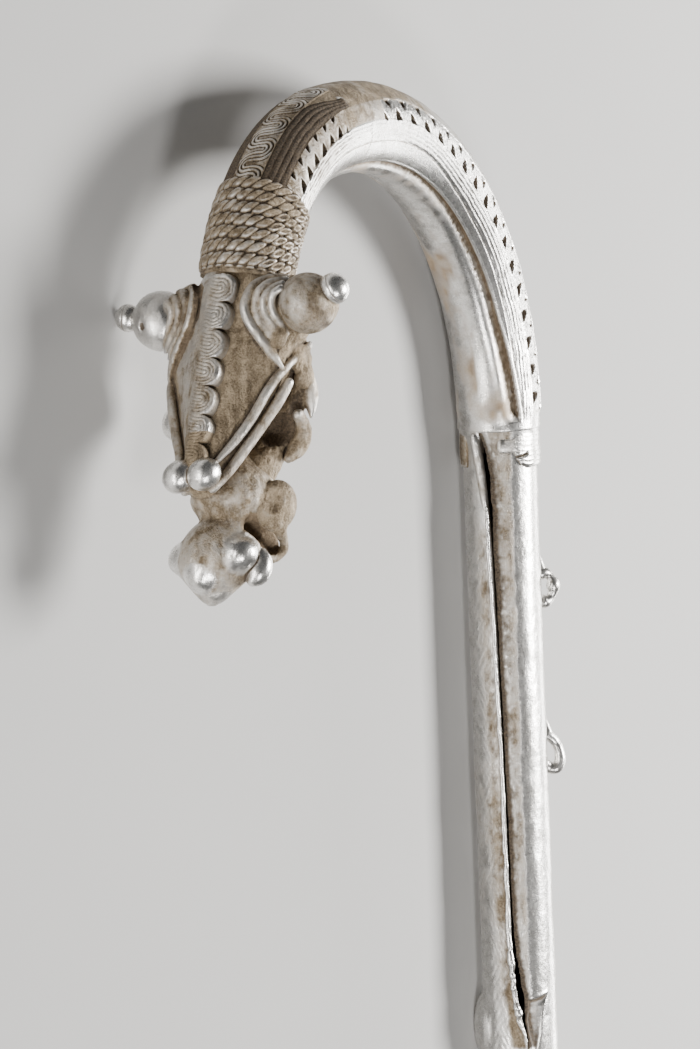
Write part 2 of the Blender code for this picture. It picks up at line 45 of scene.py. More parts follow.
# The staff's own sizes, as in its source: metres, and degrees round the crook.
STAFF_LENGTH = 0.900
SHAFT_RADIUS = 0.0130
REST_RADIUS = 0.0148
FOOT_RING_HEIGHT = 0.0160
CROOK_RADIUS = 0.1095
CROOK_TURN = 97.6
NECK_RADIUS = 0.0642
ROPE_HEADING = 137.0
NECK_HEADING = 160.0
TUBE_RADIUS = 0.0149
SLEEVE_TOP = -0.0040
CHAMBER_RADIUS = 0.0098
CHAMBER_TOP = -0.010
CHAMBER_FOOT = -0.214
COLLAR_FOOT = -0.0205
LOOP_HEIGHTS = (-0.0638, -0.1228)
LOOP_ANGLE = 52.0
FLARE_HEIGHT = -0.2210
HEAD_SKEW = 0.13
EYE_RADIUS = 0.0099
EYE_SIDE = 0.0270
KNOB_TIP = 0.0435
STAFF_FOOT = CROOK_RADIUS + TUBE_RADIUS - STAFF_LENGTH

# How the staff lies: its lean over the shaft, and the middle of its box.
REST_LEAN = 0.151143
BOX_MIDDLE = np.array((0.325623, -0.102934, 0.0003))

NEAR = np.array((0.0, -1.0, 0.0))
UP = np.array((0.0, 0.0, 1.0))


def settled(points):
    """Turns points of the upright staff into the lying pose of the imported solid."""
    lift = math.cos(REST_LEAN)
    slope = math.sin(REST_LEAN)
    across = points[:, 0] * lift - points[:, 1] * slope
    height = REST_RADIUS - points[:, 0] * slope - points[:, 1] * lift
    return np.column_stack((-points[:, 2], across, height)) - BOX_MIDDLE


# Curves and noise

def unit(value):
    """A value held between 0 and 1."""
    return np.clip(value, 0.0, 1.0)


def above(value):
    """A value held at 0 or more."""
    return np.clip(value, 0.0, None)


def hump(value, place, spread, power=2):
    """A bell of height 1 at a place."""
    return np.exp(-((value - place) / spread) ** power)


def smooth_step(value, low, high):
    """Runs from 0 at low to 1 at high with soft ends."""
    share = unit((value - low) / (high - low))
    return share * share * (3.0 - 2.0 * share)


def window(value, low, high, soft):
    """1 between low and high, fading to 0 over the soft width outside."""
    return smooth_step(value, low - soft, low) * (1.0 - smooth_step(value, high, high + soft))


def strands(distance, pitch):
    """Rounded threads side by side, as a height from 0 in the joints to 1 on the crowns."""
    phase = distance / pitch
    share = 2.0 * np.abs(phase - np.floor(phase) - 0.5)
    return np.sqrt(unit(1.0 - share ** 2.4))


def along_table(place, table):
    """A value from a short table of places and values."""
    places, values = zip(*sorted(table))
    return np.interp(place, places, values)


def off_whole(value):
    """How far a value is past the nearest whole number."""
    return value - np.round(value)


def lattice(cells, seed):
    """A repeatable value from 0 to 1 for each whole-numbered cell."""
    keys = (cells + seed * 101).astype(np.int64)
    mixed = (keys[..., 0] * 73856093) ^ (keys[..., 1] * 19349663) ^ (keys[..., 2] * 83492791)
    mixed = mixed & 0xFFFFFFFF
    mixed = ((mixed ^ (mixed >> 13)) * 1274126177) & 0xFFFFFFFF
    mixed = ((mixed ^ (mixed >> 16)) * 2654435761) & 0xFFFFFFFF
    return ((mixed >> 8) & 0xFFFF) / 65535.0


def lot(first, second, seed):
    """A repeatable value from 0 to 1 for each pair of whole numbers."""
    return lattice(np.stack((first, second, second * 0), axis=-1), seed)


def corner_weights(share):
    """The eight corners of a cell, each with its weight at a share of the way across."""
    for corner in itertools.product((0, 1), repeat=3):
        parts = [share[..., axis] if corner[axis] else 1.0 - share[..., axis] for axis in range(3)]
        yield np.array(corner), parts[0] * parts[1] * parts[2]


def noise(points, scale, seed):
    """Smooth noise from -1 to 1, with cells of the given size."""
    where = points / scale
    base = np.floor(where)
    share = where - base
    share = share * share * (3.0 - 2.0 * share)
    total = sum(weight * lattice(base + corner, seed) for corner, weight in corner_weights(share))
    return 2.0 * total - 1.0


def sheet_noise(first, second, cells, seed):
    """The same noise over a surface, from two coordinates with a cell size for each."""
    places = np.broadcast_arrays(first / cells[0], second / cells[1], np.float64(seed))
    return noise(np.stack(places, axis=-1), 1.0, seed)


# Frames along the staff

def spine(heading):
    """Centre and outward direction at headings round the crook; below 0 they run down the shaft."""
    heading = np.asarray(heading, float)
    turn = np.radians(above(heading))
    outward = np.stack((np.cos(turn), np.zeros_like(turn), np.sin(turn)), axis=-1)
    bend = math.radians(CROOK_TURN)
    shift = (CROOK_RADIUS - NECK_RADIUS) * np.array((math.cos(bend), 0.0, math.sin(bend)))
    past = (heading > CROOK_TURN)[..., None]
    centre = np.array((-CROOK_RADIUS, 0.0, 0.0)) + np.where(past, shift, 0.0)
    centre = centre + np.where(past, NECK_RADIUS, CROOK_RADIUS) * outward
    centre[..., 2] += CROOK_RADIUS * np.radians(np.clip(heading, None, 0.0))
    return centre, outward


def around(heading, angle, radius):
    """Points at an angle from the outer mid-line, towards the near side."""
    centre, outward = spine(heading)
    turn = np.radians(angle)[..., None]
    return centre + np.asarray(radius)[..., None] * (np.cos(turn) * outward + np.sin(turn) * NEAR)


def shaft_heading(height):
    """The heading that stands for a height below the crook."""
    return np.degrees(np.asarray(height, float) / CROOK_RADIUS)


def on_shaft(height, angle, radius):
    """Points round the shaft at heights below the crook."""
    return around(shaft_heading(height), angle, radius)


HEAD_CENTRE, HEAD_FRONT = (part.reshape(3) for part in spine(NECK_HEADING))
HEAD_DOWN = np.array((-HEAD_FRONT[2], 0.0, HEAD_FRONT[0]))


def head_world(points):
    """Points in millimetres (towards the face, the near side and the chin) in the upright staff."""
    return HEAD_CENTRE + MM * (
        points[..., :1] * HEAD_FRONT + points[..., 1:2] * NEAR + points[..., 2:3] * HEAD_DOWN
    )


# Meshes

PIECES = []


def outward_faces(points, quads, triangles):
    """The faces, turned over where the closed form would be inside out."""
    corners = points[np.concatenate((quads[:, :3], quads[:, [0, 2, 3]], triangles))]
    volume = np.einsum("ij,ij->i", corners[:, 0], np.cross(corners[:, 1], corners[:, 2])).sum()
    if volume < 0.0:
        return quads[:, ::-1], triangles[:, ::-1]
    return quads, triangles


def make_piece(name, points, quads, triangles, masks):
    """A closed mesh of upright points, with its masks for dirt and painted shade, polish and painted
    highlights, and earth as a colour attribute.
    """
    points = settled(np.asarray(points, float).reshape(-1, 3))
    points[:, 2] = above(points[:, 2])
    quads = np.asarray(quads, np.int64).reshape(-1, 4)
    triangles = np.asarray(triangles, np.int64).reshape(-1, 3)
    quads, triangles = outward_faces(points, quads, triangles)
    mesh = bpy.data.meshes.new(name)
    mesh.vertices.add(len(points))
    mesh.vertices.foreach_set("co", points.astype(np.float32).ravel())
    corners = np.concatenate((quads.ravel(), triangles.ravel()))
    mesh.loops.add(len(corners))
    mesh.loops.foreach_set("vertex_index", corners.astype(np.int32))
    starts = np.concatenate((np.arange(len(quads)) * 4, len(quads) * 4 + np.arange(len(triangles)) * 3))
    mesh.polygons.add(len(starts))
    mesh.polygons.foreach_set("loop_start", starts.astype(np.int32))
    mesh.update(calc_edges=True)
    mesh.shade_smooth()
    layer = mesh.attributes.new("finish", "FLOAT_COLOR", "POINT")
    colours = np.ones((len(points), 4), np.float32)
    colours[:, :3] = unit(masks)
    layer.data.foreach_set("color", colours.ravel())
    piece = bpy.data.objects.new(name, mesh)
    bpy.context.scene.collection.objects.link(piece)
    PIECES.append(piece)


def grid_faces(rows, columns):
    """Quads between the rows of a grid of points, closed round each row."""
    steps = np.arange(columns)
    low = np.arange(rows - 1)[:, None] * columns
    first = low + steps
    second = low + (steps + 1) % columns
    return np.stack((first, second, second + columns, first + columns), axis=-1).reshape(-1, 4)


def tube_mesh(points):
    """A closed tube from a grid (rows, columns, 3), with a fan over each end."""
    rows, columns = points.shape[:2]
    flat = points.reshape(-1, 3)
    ends = np.stack((points[0].mean(axis=0), points[-1].mean(axis=0)))
    steps = np.arange(columns)
    follow = (steps + 1) % columns
    last = (rows - 1) * columns
    start = np.stack((follow, steps, np.full(columns, len(flat))), axis=-1)
    finish = np.stack((last + steps, last + follow, np.full(columns, len(flat) + 1)), axis=-1)
    return np.concatenate((flat, ends)), grid_faces(rows, columns), np.concatenate((start, finish))


def finish_masks(dirt_and_shade, polish_and_highlight, earth=0.0):
    """The three masks side by side for each point."""
    return np.stack(np.broadcast_arrays(dirt_and_shade, polish_and_highlight, earth), axis=-1)


def tube_piece(name, points, masks, tips=np.zeros((2, 3))):
    """A piece from a tube's grid of points, with a mask for each point and for both end tips."""
    points, quads, fans = tube_mesh(points)
    masks = np.concatenate((masks.reshape(-1, 3), tips))
    make_piece(name, points, quads, fans, masks)


def blurred(values, spread):
    """A height grid round a tube, averaged over a window of (rows, columns) either way."""
    for axis, reach in enumerate(spread):
        total = values.copy()
        for step in range(1, reach + 1):
            for shift in (step, -step):
                moved = np.roll(values, shift, axis=axis)
                if axis == 0:
                    edge = slice(0, shift) if shift > 0 else slice(shift, None)
                    moved[edge] = values[edge]
                total += moved
        values = total / (2 * reach + 1)
    return values


def hollows(relief, spread):
    """How far each point lies below its surroundings, in mm, at the given window."""
    return blurred(relief, spread) - relief


# The crook

TUBE_GIRTH = math.radians(1.0) * TUBE_RADIUS / MM
# Headings round the crook and the angle of the ledge there.
LEDGE_LINE = ((0.0, 122.0), (6.0, 127.0), (20.0, 137.0), (40.0, 141.0), (88.0, 144.0), (137.0, 147.0))
# Headings, and the width and the depth of the ledge's groove in mm.
GROOVE_WIDTH = ((0.0, 6.5), (30.0, 5.0), (60.0, 3.6))
GROOVE_DEPTH = ((0.0, 2.6), (25.0, 2.2), (86.0, 1.5), (92.0, 0.7), (100.0, 0.5), (137.0, 0.9))
WORN_TOP = 90.0
ZIGZAG_HALF = 3.5
# Half base and length of a notch, pitch and relief of the threads, and depth of the notch, in mm.
FIRST_NOTCHES = (2.10, 4.2, 0.72, 0.42, 2.2)
SECOND_NOTCHES = (1.55, 3.4, 0.72, 0.44, 1.8)
NOTCH_PITCH = 5.28
INNER_NOTCH = 3.0
OUTER_NOTCH = 5.1
NOTCH_START = 1.0
NOTCH_END = 86.0
SECOND_NOTCH_PITCH = 5.1
SECOND_NOTCH = 106.0
SECOND_NOTCH_START = 103.5
WIRE_PITCH = 1.40
WIRE_STRIP = 26.0
LONG_WIRE_START = 97.5
LONG_WIRE_COUNT = 4.0
KNOT_HEADING = 97.8
KNOT_ANGLE = 43.0
MEANDER_PITCH = 8.9
MEANDER_START = 99.5
MEANDER_HALF = 4.1
MEANDER_EDGE = 18.4
MEANDER_THREAD = 1.22
ORNAMENT_END = ROPE_HEADING + 2.0
CREST_END = 92.0


def ledge_angle(heading, angle):
    """Where the ornamented crest stops over the plain inner rod, sooner on the far side."""
    near = along_table(heading, LEDGE_LINE)
    far = np.minimum(near, 112.0 + 26.0 * smooth_step(heading, 60.0, 100.0))
    return np.where(angle < 0.0, far, near)


def band_middle(heading):
    """The zigzag band's middle, which drifts outwards over the top of the crook."""
    return 85.0 - 16.0 * smooth_step(heading, 46.0, 82.0) - 1.5 * smooth_step(heading, 104.0, 125.0)


class CrookSkin:
    """A grid of places on the crook, its relief in mm, and its masks for dirt and painted shade, polish and
    painted highlights, and earth.
    """

    def __init__(self, heading, angle):
        self.heading = heading
        self.angle = angle
        self.side = np.abs(angle)
        self.plain = np.where(angle < 0.0, 0.75, 1.0)
        self.worn = 0.45 + 0.55 * smooth_step(np.abs(heading - WORN_TOP), 4.0, 18.0)
        self.middle = band_middle(heading)
        self.across = (self.side - self.middle) * TUBE_GIRTH
        self.band_half = ZIGZAG_HALF + 0.15 * self.noise((3.2, 30.0), 3)
        self.ledge = ledge_angle(heading, angle)
        self.past_ledge = (self.side - self.ledge) * TUBE_GIRTH
        self.first_arc = window(heading, NOTCH_START, NOTCH_END, 1.2)
        self.front = window(heading, LONG_WIRE_START, ORNAMENT_END, 1.0)
        self.relief = np.zeros_like(self.side)
        self.dirt_and_shade = np.zeros_like(self.side)
        self.polish_and_highlight = np.zeros_like(self.side)
        self.earth = np.zeros_like(self.side)

    def noise(self, cells, seed):
        """Noise over the crook, with cells of so many degrees along it and round it."""
        return sheet_noise(self.heading, self.angle, cells, seed)


def spikes(along, inward, pitch, first, half_base, length):
    """Depth inside (below 0) or distance outside tapering notches that start at one edge of a band."""
    beside = np.abs(off_whole((along - first) / pitch)) * pitch
    taper = half_base * (1.0 - unit(inward / length) ** 1.5)
    beyond = above(inward - length)
    return np.hypot(above(beside - taper), beyond) - above(taper - beside) * (beyond <= 0.0)


def wave_band(skin, pitch, first, second, shape, slant, small):
    """A band of threads that weave between notches from both edges: height in mm and notch mask."""
    half_base, length, thread, relief, notch = shape
    scale = np.radians(1.0) * np.where(skin.heading > CROOK_TURN, NECK_RADIUS, CROOK_RADIUS) / MM
    wander = 0.25 * sheet_noise(skin.heading, skin.across, (4.0, 3.0), 7)
    along = skin.heading * scale + wander + slant * skin.across
    gap = pitch * scale
    inner = spikes(along, skin.band_half - skin.across, gap, first * scale, half_base, length)
    outer = spikes(
        along, skin.band_half + skin.across, gap, second * scale, half_base * small, length * small
    )
    distance = np.minimum(inner, outer)
    hole = smooth_step(-distance, 0.0, 0.35)
    height = relief * (strands(above(distance), thread) - 0.6)
    return height * (1.0 - hole) - notch * hole, smooth_step(-distance, -0.30, 0.10)


def add_zigzag(skin):
    """The zigzag band of threads between triangular notches, worn away on the top of the crook."""
    low = wave_band(skin, NOTCH_PITCH, INNER_NOTCH, OUTER_NOTCH, FIRST_NOTCHES, 0.25, 0.8)
    high = wave_band(
        skin, SECOND_NOTCH_PITCH, SECOND_NOTCH, SECOND_NOTCH + 2.3, SECOND_NOTCHES, -0.62, 0.55
    )
    band = window(skin.across, -skin.band_half, skin.band_half, 0.12)
    first = skin.first_arc
    second = window(skin.heading, SECOND_NOTCH_START, ORNAMENT_END, 1.5)
    size = 0.75 + 0.35 * skin.noise((6.0, 60.0), 17)
    notches = first * low[1] + second * high[1]
    skin.relief += skin.plain * band * (first * low[0] * size + second * high[0] * size)
    # The notches and the joints between threads are darkened: partly earth, partly painted shade in the
    # recesses.
    skin.dirt_and_shade += band * unit(notches)
    skin.dirt_and_shade += band * 0.8 * notches
    skin.dirt_and_shade += band * 0.9 * np.clip(-low[0] * first * 1.6 - high[0] * second * 1.6 - 0.06, 0.0, 0.6)
    skin.polish_and_highlight += band * (0.46 * first + 0.26 * second + 0.20 * (1.0 - first) * (1.0 - second))


def add_side_wires(skin):
    """Wires between the band and the ledge, and the smooth strip beside the ledge."""
    edge = skin.middle + skin.band_half / TUBE_GIRTH
    strip = np.minimum(edge + WIRE_STRIP, skin.ledge - 6.0)
    zone = window(skin.side, edge, strip, 1.0)
    wander = 0.22 * skin.noise((5.0, 200.0), 5) + 0.18 * skin.noise((1.7, 14.0), 9)
    wires = strands(skin.across - skin.band_half + wander + 0.6, WIRE_PITCH)
    skin.relief += zone * skin.plain * skin.worn * (0.52 * wires - 0.22)
    # The joints between wires are darkened: partly dirt, partly painted shade.
    skin.dirt_and_shade += zone * skin.worn * 0.55 * unit(1.0 - 1.9 * wires)
    skin.relief -= 0.22 * window(skin.side, strip, strip + 1.2, 1.4) * skin.worn
    skin.polish_and_highlight += zone * (0.60 - 0.22 * smooth_step(skin.heading, 92.0, 110.0))
    smooth = window(skin.side, strip + 3.0, skin.ledge - 0.5, 2.0)
    skin.polish_and_highlight += 0.75 * smooth * np.where(skin.angle > 0.0, 1.0, 0.4)


def add_ledge(skin):
    """The ledge: a crisp lip, an undercut face, and a groove that runs out on the inner rod."""
    heading, past = skin.heading, skin.past_ledge
    reach = along_table(heading, GROOVE_WIDTH)
    depth = along_table(heading, GROOVE_DEPTH)
    groove = depth * (1.0 - smooth_step(past, 0.55, reach)) * smooth_step(past, -0.12, 0.42)
    lip = 0.18 * hump(past, -0.45, 0.35) * skin.worn
    rod = 0.8 * smooth_step(past, 0.4 * reach, reach + 2.0)
    skin.relief += lip - groove + rod
    # The groove under the lip is darkened and browned: earth, and a painted shadow cast by the lip.
    stain = unit(groove / 2.2) * (0.8 + 0.4 * skin.noise((5.0, 30.0), 21))
    skin.dirt_and_shade += 0.36 * stain
    crumbs = skin.noise((0.8, 6.0), 23) + 0.8 * np.abs(skin.noise((0.5, 4.0), 25))
    skin.relief += 0.14 * groove * crumbs
    patches = unit(skin.noise((9.0, 22.0), 27) + 0.4 * skin.noise((2.0, 8.0), 29))
    on_rod = smooth_step(past, 0.5, reach)
    skin.earth += 0.55 * stain + 0.95 * patches * on_rod * (1.0 - smooth_step(heading, 84.0, 98.0))
    skin.polish_and_highlight += 0.52 * on_rod


def add_long_wires(skin):
    """Long wires either side of the meander on the front of the crook, and the knot they start from."""
    low_edge = 21.0 + 21.0 * (1.0 - smooth_step(skin.heading, 96.0, 112.0))
    high_edge = skin.middle - skin.band_half / TUBE_GIRTH - 1.5
    spread = np.clip((skin.side - low_edge) / (high_edge - low_edge), -0.2, 1.2)
    phase = spread * LONG_WIRE_COUNT + 0.08 * skin.noise((6.0, 60.0), 31)
    ridge = strands(phase, 1.0)
    edge_line = hump(phase - np.floor(phase), 0.10, 0.06)
    zone = window(skin.side, low_edge - 0.5, high_edge + 0.5, 1.2) * skin.front
    skin.relief += zone * skin.plain * (0.62 * ridge + 0.12 * edge_line - 0.34)
    # The whole wire zone is darkened as painted shade, with dirt in the joints; the bright line on one edge
    # of each wire is a painted highlight.
    skin.dirt_and_shade += zone * (0.90 * unit(1.0 - 1.2 * ridge) + 0.88)
    skin.polish_and_highlight += zone * (0.16 + 0.7 * edge_line)
    beside = (skin.side - KNOT_ANGLE) * TUBE_GIRTH
    knot = np.exp(-(((skin.heading - KNOT_HEADING) * 1.12) ** 2 + beside ** 2 * 0.35)) * (skin.angle > 0.0)
    skin.relief += 0.7 * knot
    skin.polish_and_highlight += knot


def meander_distance(heading, across):
    """Distance in mm from a winding line that crosses the crook's front and turns back at either side."""
    pitch = MEANDER_PITCH * (math.radians(1.0) * NECK_RADIUS / MM)
    wander = 0.25 * sheet_noise(heading, across, (3.0, 3.0), 33)
    turn = (heading - MEANDER_START) / MEANDER_PITCH + 0.02 * across + 0.1 * wander
    quarter = 0.25 * pitch
    stroke = np.abs(off_whole(turn * 2.0)) * 0.5 * pitch
    right = off_whole(turn - 0.25) * pitch
    left = off_whole(turn - 0.75) * pitch
    past = np.abs(across) - (MEANDER_HALF - quarter)
    bend = np.abs(np.hypot(np.where(across > 0.0, right, left), above(past)) - quarter)
    return np.where(past > 0.0, bend, stroke)


def add_meander(skin):
    """The meander down the front: threads nested round a winding line, with plates in its corners."""
    heading, side = skin.heading, skin.side
    away = meander_distance(heading - 0.35 * np.sin(np.radians(skin.angle)), skin.angle * TUBE_GIRTH)
    zone = window(side, 0.0, MEANDER_EDGE, 0.8) * window(heading, 97.0, ORNAMENT_END, 1.0)
    thread = strands(away + 0.5 * MEANDER_THREAD, MEANDER_THREAD)
    plate = smooth_step(away, 2.05, 2.25)
    skin.relief += zone * ((1.0 - plate) * (1.30 * thread - 0.90) + plate * 0.10)
    # The grooves between threads are darkened: dirt and painted shade.
    skin.dirt_and_shade += zone * (1.0 - plate) * 1.9 * unit(1.0 - 1.12 * thread)
    skin.polish_and_highlight += zone * (0.02 + 0.18 * thread + 0.04 * plate)
    skin.relief += 0.35 * hump(side, MEANDER_EDGE + 1.2, 0.9) * skin.front


def add_bare_back(skin):
    """The plain back of the first arc, with faint dents and strokes, and the cast skin all over."""
    heading = skin.heading
    edge = skin.middle - skin.band_half / TUBE_GIRTH
    bare = window(skin.side, 0.0, edge, 3.0) * (1.0 - skin.front)
    border = hump(skin.across + skin.band_half, -0.55, 0.30) * skin.first_arc
    skin.relief += border * 0.30 * skin.plain
    skin.relief += bare * 0.10 * skin.noise((2.5, 10.0), 41)
    # Towards the top of the crook the back loses polish and darkens: painted shade.
    skin.polish_and_highlight += bare * (0.45 - 0.42 * smooth_step(heading, 40.0, 80.0))
    skin.dirt_and_shade += 0.26 * bare * smooth_step(heading, 50.0, 75.0)
    skin.relief += 0.06 * skin.noise((5.0, 24.0), 43)


def ornament(heading, angle):
    """The crook's skin with all its ornament."""
    skin = CrookSkin(heading, angle)
    for add in (add_zigzag, add_side_wires, add_ledge, add_long_wires, add_meander, add_bare_back):
        add(skin)
    return skin


def stepped(*runs):
    """Values that run on in turn from each start to its end, by its step."""
    return np.concatenate([np.arange(*run) for run in runs])


def crook_piece(name, headings, angles):
    """One stretch of the crook, from its relief, sinking into the shaft's top at its foot."""
    heading, angle = np.meshgrid(headings, angles, indexing="ij")
    turned = (angle + 180.0) % 360.0 - 180.0
    skin = ornament(heading, turned)
    start = float(shaft_heading(SLEEVE_TOP))
    merge = smooth_step(heading, start, start + 3.2)
    foot = -0.3 + 0.03 * np.clip((heading - start) * 1.9, -2.0, 1.0)
    relief = skin.relief * merge + foot * (1.0 - merge)
    relief = relief - 1.6 * (1.0 - smooth_step(heading, start - 1.5, start - 0.9))
    deep = hollows(relief, (4, 4))
    dirt_and_shade, polish_and_highlight = unit(skin.dirt_and_shade), unit(skin.polish_and_highlight)
    worn = np.clip(-deep * 0.9, 0.0, 0.18)
    # Less ground shine towards the crook's front: painted shade on the side turned from the light.
    ground = 0.30 - 0.22 * smooth_step(heading, 62.0, 98.0)
    shine = unit(ground + polish_and_highlight * (1.0 - dirt_and_shade) + worn * (1.0 - 0.8 * dirt_and_shade))
    merge = smooth_step(heading, start, start + 2.4)
    # Hollows are darkened as earth and painted shade, and the crook's front as painted shade.
    low = unit(dirt_and_shade + unit(deep * 1.9) + 0.16 * smooth_step(heading, 88.0, 102.0)) * merge
    # At the foot the shaft's painted highlight band carries on.
    shine = shine * merge + (0.62 + 0.33 * window(turned, 40.0, 128.0, 14.0)) * (1.0 - merge)
    masks = finish_masks(low, shine, unit(skin.earth) * merge)
    tube_piece(name, around(heading, angle, TUBE_RADIUS + relief * MM), masks)


def make_crook():
    """The crook in two stretches that meet on its worn, plain top."""
    start = float(shaft_heading(SLEEVE_TOP))
    first = np.linspace(start - 1.6, CREST_END, round((CREST_END - start) / 0.205))
    first_angles = stepped(
        (-148.0, -96.0, 2.6), (-96.0, -50.0, 2.0), (-50.0, -22.0, 2.8), (-22.0, 118.0, 1.42),
        (118.0, 152.0, 1.0), (152.0, 212.0, 4.0),
    )
    crook_piece("crook", first, first_angles)
    second = stepped((CREST_END, CROOK_TURN, 0.195), (CROOK_TURN, ROPE_HEADING + 0.8, 0.21))
    second_angles = stepped(
        (-148.0, -50.0, 2.4), (-50.0, -20.0, 1.5), (-20.0, 21.0, 0.75), (21.0, 152.0, 1.15),
        (152.0, 212.0, 4.0),
    )
    crook_piece("crook_front", second, second_angles)


# The roped neck

ROPE_COUNT = 7
ROPE_RADIUS = 0.0150
ROPE_HEIGHT = 1.35
ROPE_CELLS = 26
ROPE_SLANT = 1.05


def make_neck():
    """Rows of slanted strands wound round the neck."""
    headings = np.arange(ROPE_HEADING - 0.6, NECK_HEADING + 1.6, 0.22)
    heading, angle = np.meshgrid(headings, np.arange(0.0, 360.0, 1.35), indexing="ij")
    pitch = (NECK_HEADING - ROPE_HEADING) / ROPE_COUNT
    row = (heading - ROPE_HEADING) / pitch + 0.10 * sheet_noise(angle, heading, (40.0, 8.0), 51)
    number = np.clip(np.floor(row), 0, ROPE_COUNT)
    share = row - number
    cell = angle / 360.0 * ROPE_CELLS + lot(number, number * 0, 53) + ROPE_SLANT * (share - 0.5)
    cell = cell + 0.12 * sheet_noise(angle, heading, (16.0, 3.0), 55)
    across = np.abs(2.0 * share - 1.0)
    beside = np.abs(2.0 * (cell - np.floor(cell)) - 1.0)
    pinch = unit(across / np.sqrt(np.clip(1.05 - beside ** 3.0, 0.02, 1.0)))
    band = np.sqrt(unit(1.0 - pinch ** 2.4))
    bead = np.sqrt(unit(1.0 - beside ** 2.2))
    grain = lot(np.floor(cell) % ROPE_CELLS, number, 57)
    dimple = (0.30 + 0.60 * grain) * np.exp(-((across / 0.62) ** 4 + (beside / 0.62) ** 4))
    from_front = np.abs((angle + 180.0) % 360.0 - 180.0)
    dimple = dimple * (0.35 + 0.65 * smooth_step(from_front, 15.0, 60.0))
    relief = ROPE_HEIGHT * band * (0.35 + 0.65 * bead) * (0.85 + 0.25 * grain) - 0.80 * dimple
    relief *= window(row, 0.0, ROPE_COUNT + 0.05, 0.15)
    relief += 0.10 * sheet_noise(angle, heading, (7.0, 1.2), 59)
    deep = hollows(relief, (3, 3))
    wear = unit(-deep * 2.0) * (0.5 + 0.5 * band)
    # Hollows and dimples are darkened: dirt and painted shade.
    dirt_and_shade = unit(deep * 3.2 + 0.42 * dimple + 0.27)
    masks = finish_masks(dirt_and_shade, 0.14 + 0.55 * wear)
    tube_piece("roped_neck", around(heading, angle, ROPE_RADIUS + relief * MM), masks)


# The shaft, with its slit and the hollow behind it

# Height in metres, and angle of the slit's middle.
SLIT_LINE = (
    (-0.0060, 184.0), (-0.0120, 182.0), (-0.0200, 178.5), (-0.0310, 173.5), (-0.0390, 171.5),
    (-0.0810, 167.2), (-0.1310, 163.6), (-0.1610, 162.0), (-0.1870, 160.0), (-0.1990, 156.5),
    (-0.2085, 151.0), (-0.2165, 147.0), (-0.2250, 141.0),
)
# Height in metres, and width of the slit in mm.
SLIT_OPENING = (
    (-0.0060, 0.02), (-0.0085, 0.9), (-0.0140, 2.5), (-0.0220, 3.1), (-0.0320, 1.7), (-0.0450, 0.8),
    (-0.1310, 0.65), (-0.1800, 0.9), (-0.1930, 1.5), (-0.2020, 2.3), (-0.2085, 2.3), (-0.2130, 1.9),
    (-0.2165, 1.4), (-0.2200, 0.8), (-0.2240, 0.3), (-0.2250, 0.02),
)
SLIT_ENDS = (-0.0060, -0.2250)
CHAMBER_STEPS = 9
FLARE_ANGLE = 249.0
# Height and angle of the scoop's two sides.
SCOOP_RIGHT = ((-0.2075, 102.0), (-0.2115, 113.0), (-0.2163, 117.0), (-0.2220, 119.5), (-0.2300, 129.0))
SCOOP_LEFT = ((-0.2060, 139.0), (-0.2135, 140.0), (-0.2165, 142.0), (-0.2225, 138.5), (-0.2310, 130.5))
SCOOP_TOP = -0.2088
SCOOP_FOOT = -0.2330
HATCHED_ENDS = (-0.235, -0.050)
HATCHED_SIDE = 238.0


def shaft_girth(angle):
    """Millimetres round the shaft for degrees."""
    return angle * math.radians(1.0) * SHAFT_RADIUS / MM


def slit_edges(height):
    """Angles of the slit's thread side and of its ragged bare side."""
    middle = along_table(height, SLIT_LINE)
    half = np.degrees(0.5 * along_table(height, SLIT_OPENING) * MM / SHAFT_RADIUS)
    ragged = 0.9 * sheet_noise(height / MM, np.zeros_like(height), (1.1, 1.0), 61)
    ragged += 0.8 * sheet_noise(height / MM, np.zeros_like(height), (3.7, 1.0), 63)
    return middle + half, middle - half - ragged * unit(half / 3.0)


def shaft_radius(height):
    """The plain shaft's radius in mm, down to its foot ring."""
    foot = STAFF_FOOT
    top = foot + FOOT_RING_HEIGHT
    table = (
        (foot, REST_RADIUS - 0.0012), (foot + 0.0008, REST_RADIUS - 0.0003), (foot + 0.0014, REST_RADIUS),
        (top - 0.0006, REST_RADIUS), (top + 0.0006, REST_RADIUS - 0.0006),
        (top + 0.0016, SHAFT_RADIUS - 0.0006), (top + 0.0052, SHAFT_RADIUS - 0.0006),
        (top + 0.0062, SHAFT_RADIUS + 0.0003), (top + 0.0088, SHAFT_RADIUS + 0.0006),
        (top + 0.0112, SHAFT_RADIUS + 0.0003), (top + 0.0124, SHAFT_RADIUS - 0.0006),
        (0.5 * (top + FLARE_HEIGHT), SHAFT_RADIUS - 0.0004), (FLARE_HEIGHT - 0.030, SHAFT_RADIUS),
        (COLLAR_FOOT - 0.001, SHAFT_RADIUS), (-0.0125, SHAFT_RADIUS + 0.0002),
        (-0.0060, SHAFT_RADIUS + 0.0012), (SLEEVE_TOP, TUBE_RADIUS - 0.0003),
        (SLEEVE_TOP + 0.0012, TUBE_RADIUS - 0.0003), (SLEEVE_TOP + 0.0022, TUBE_RADIUS - 0.0030),
    )
    return along_table(height, table) / MM


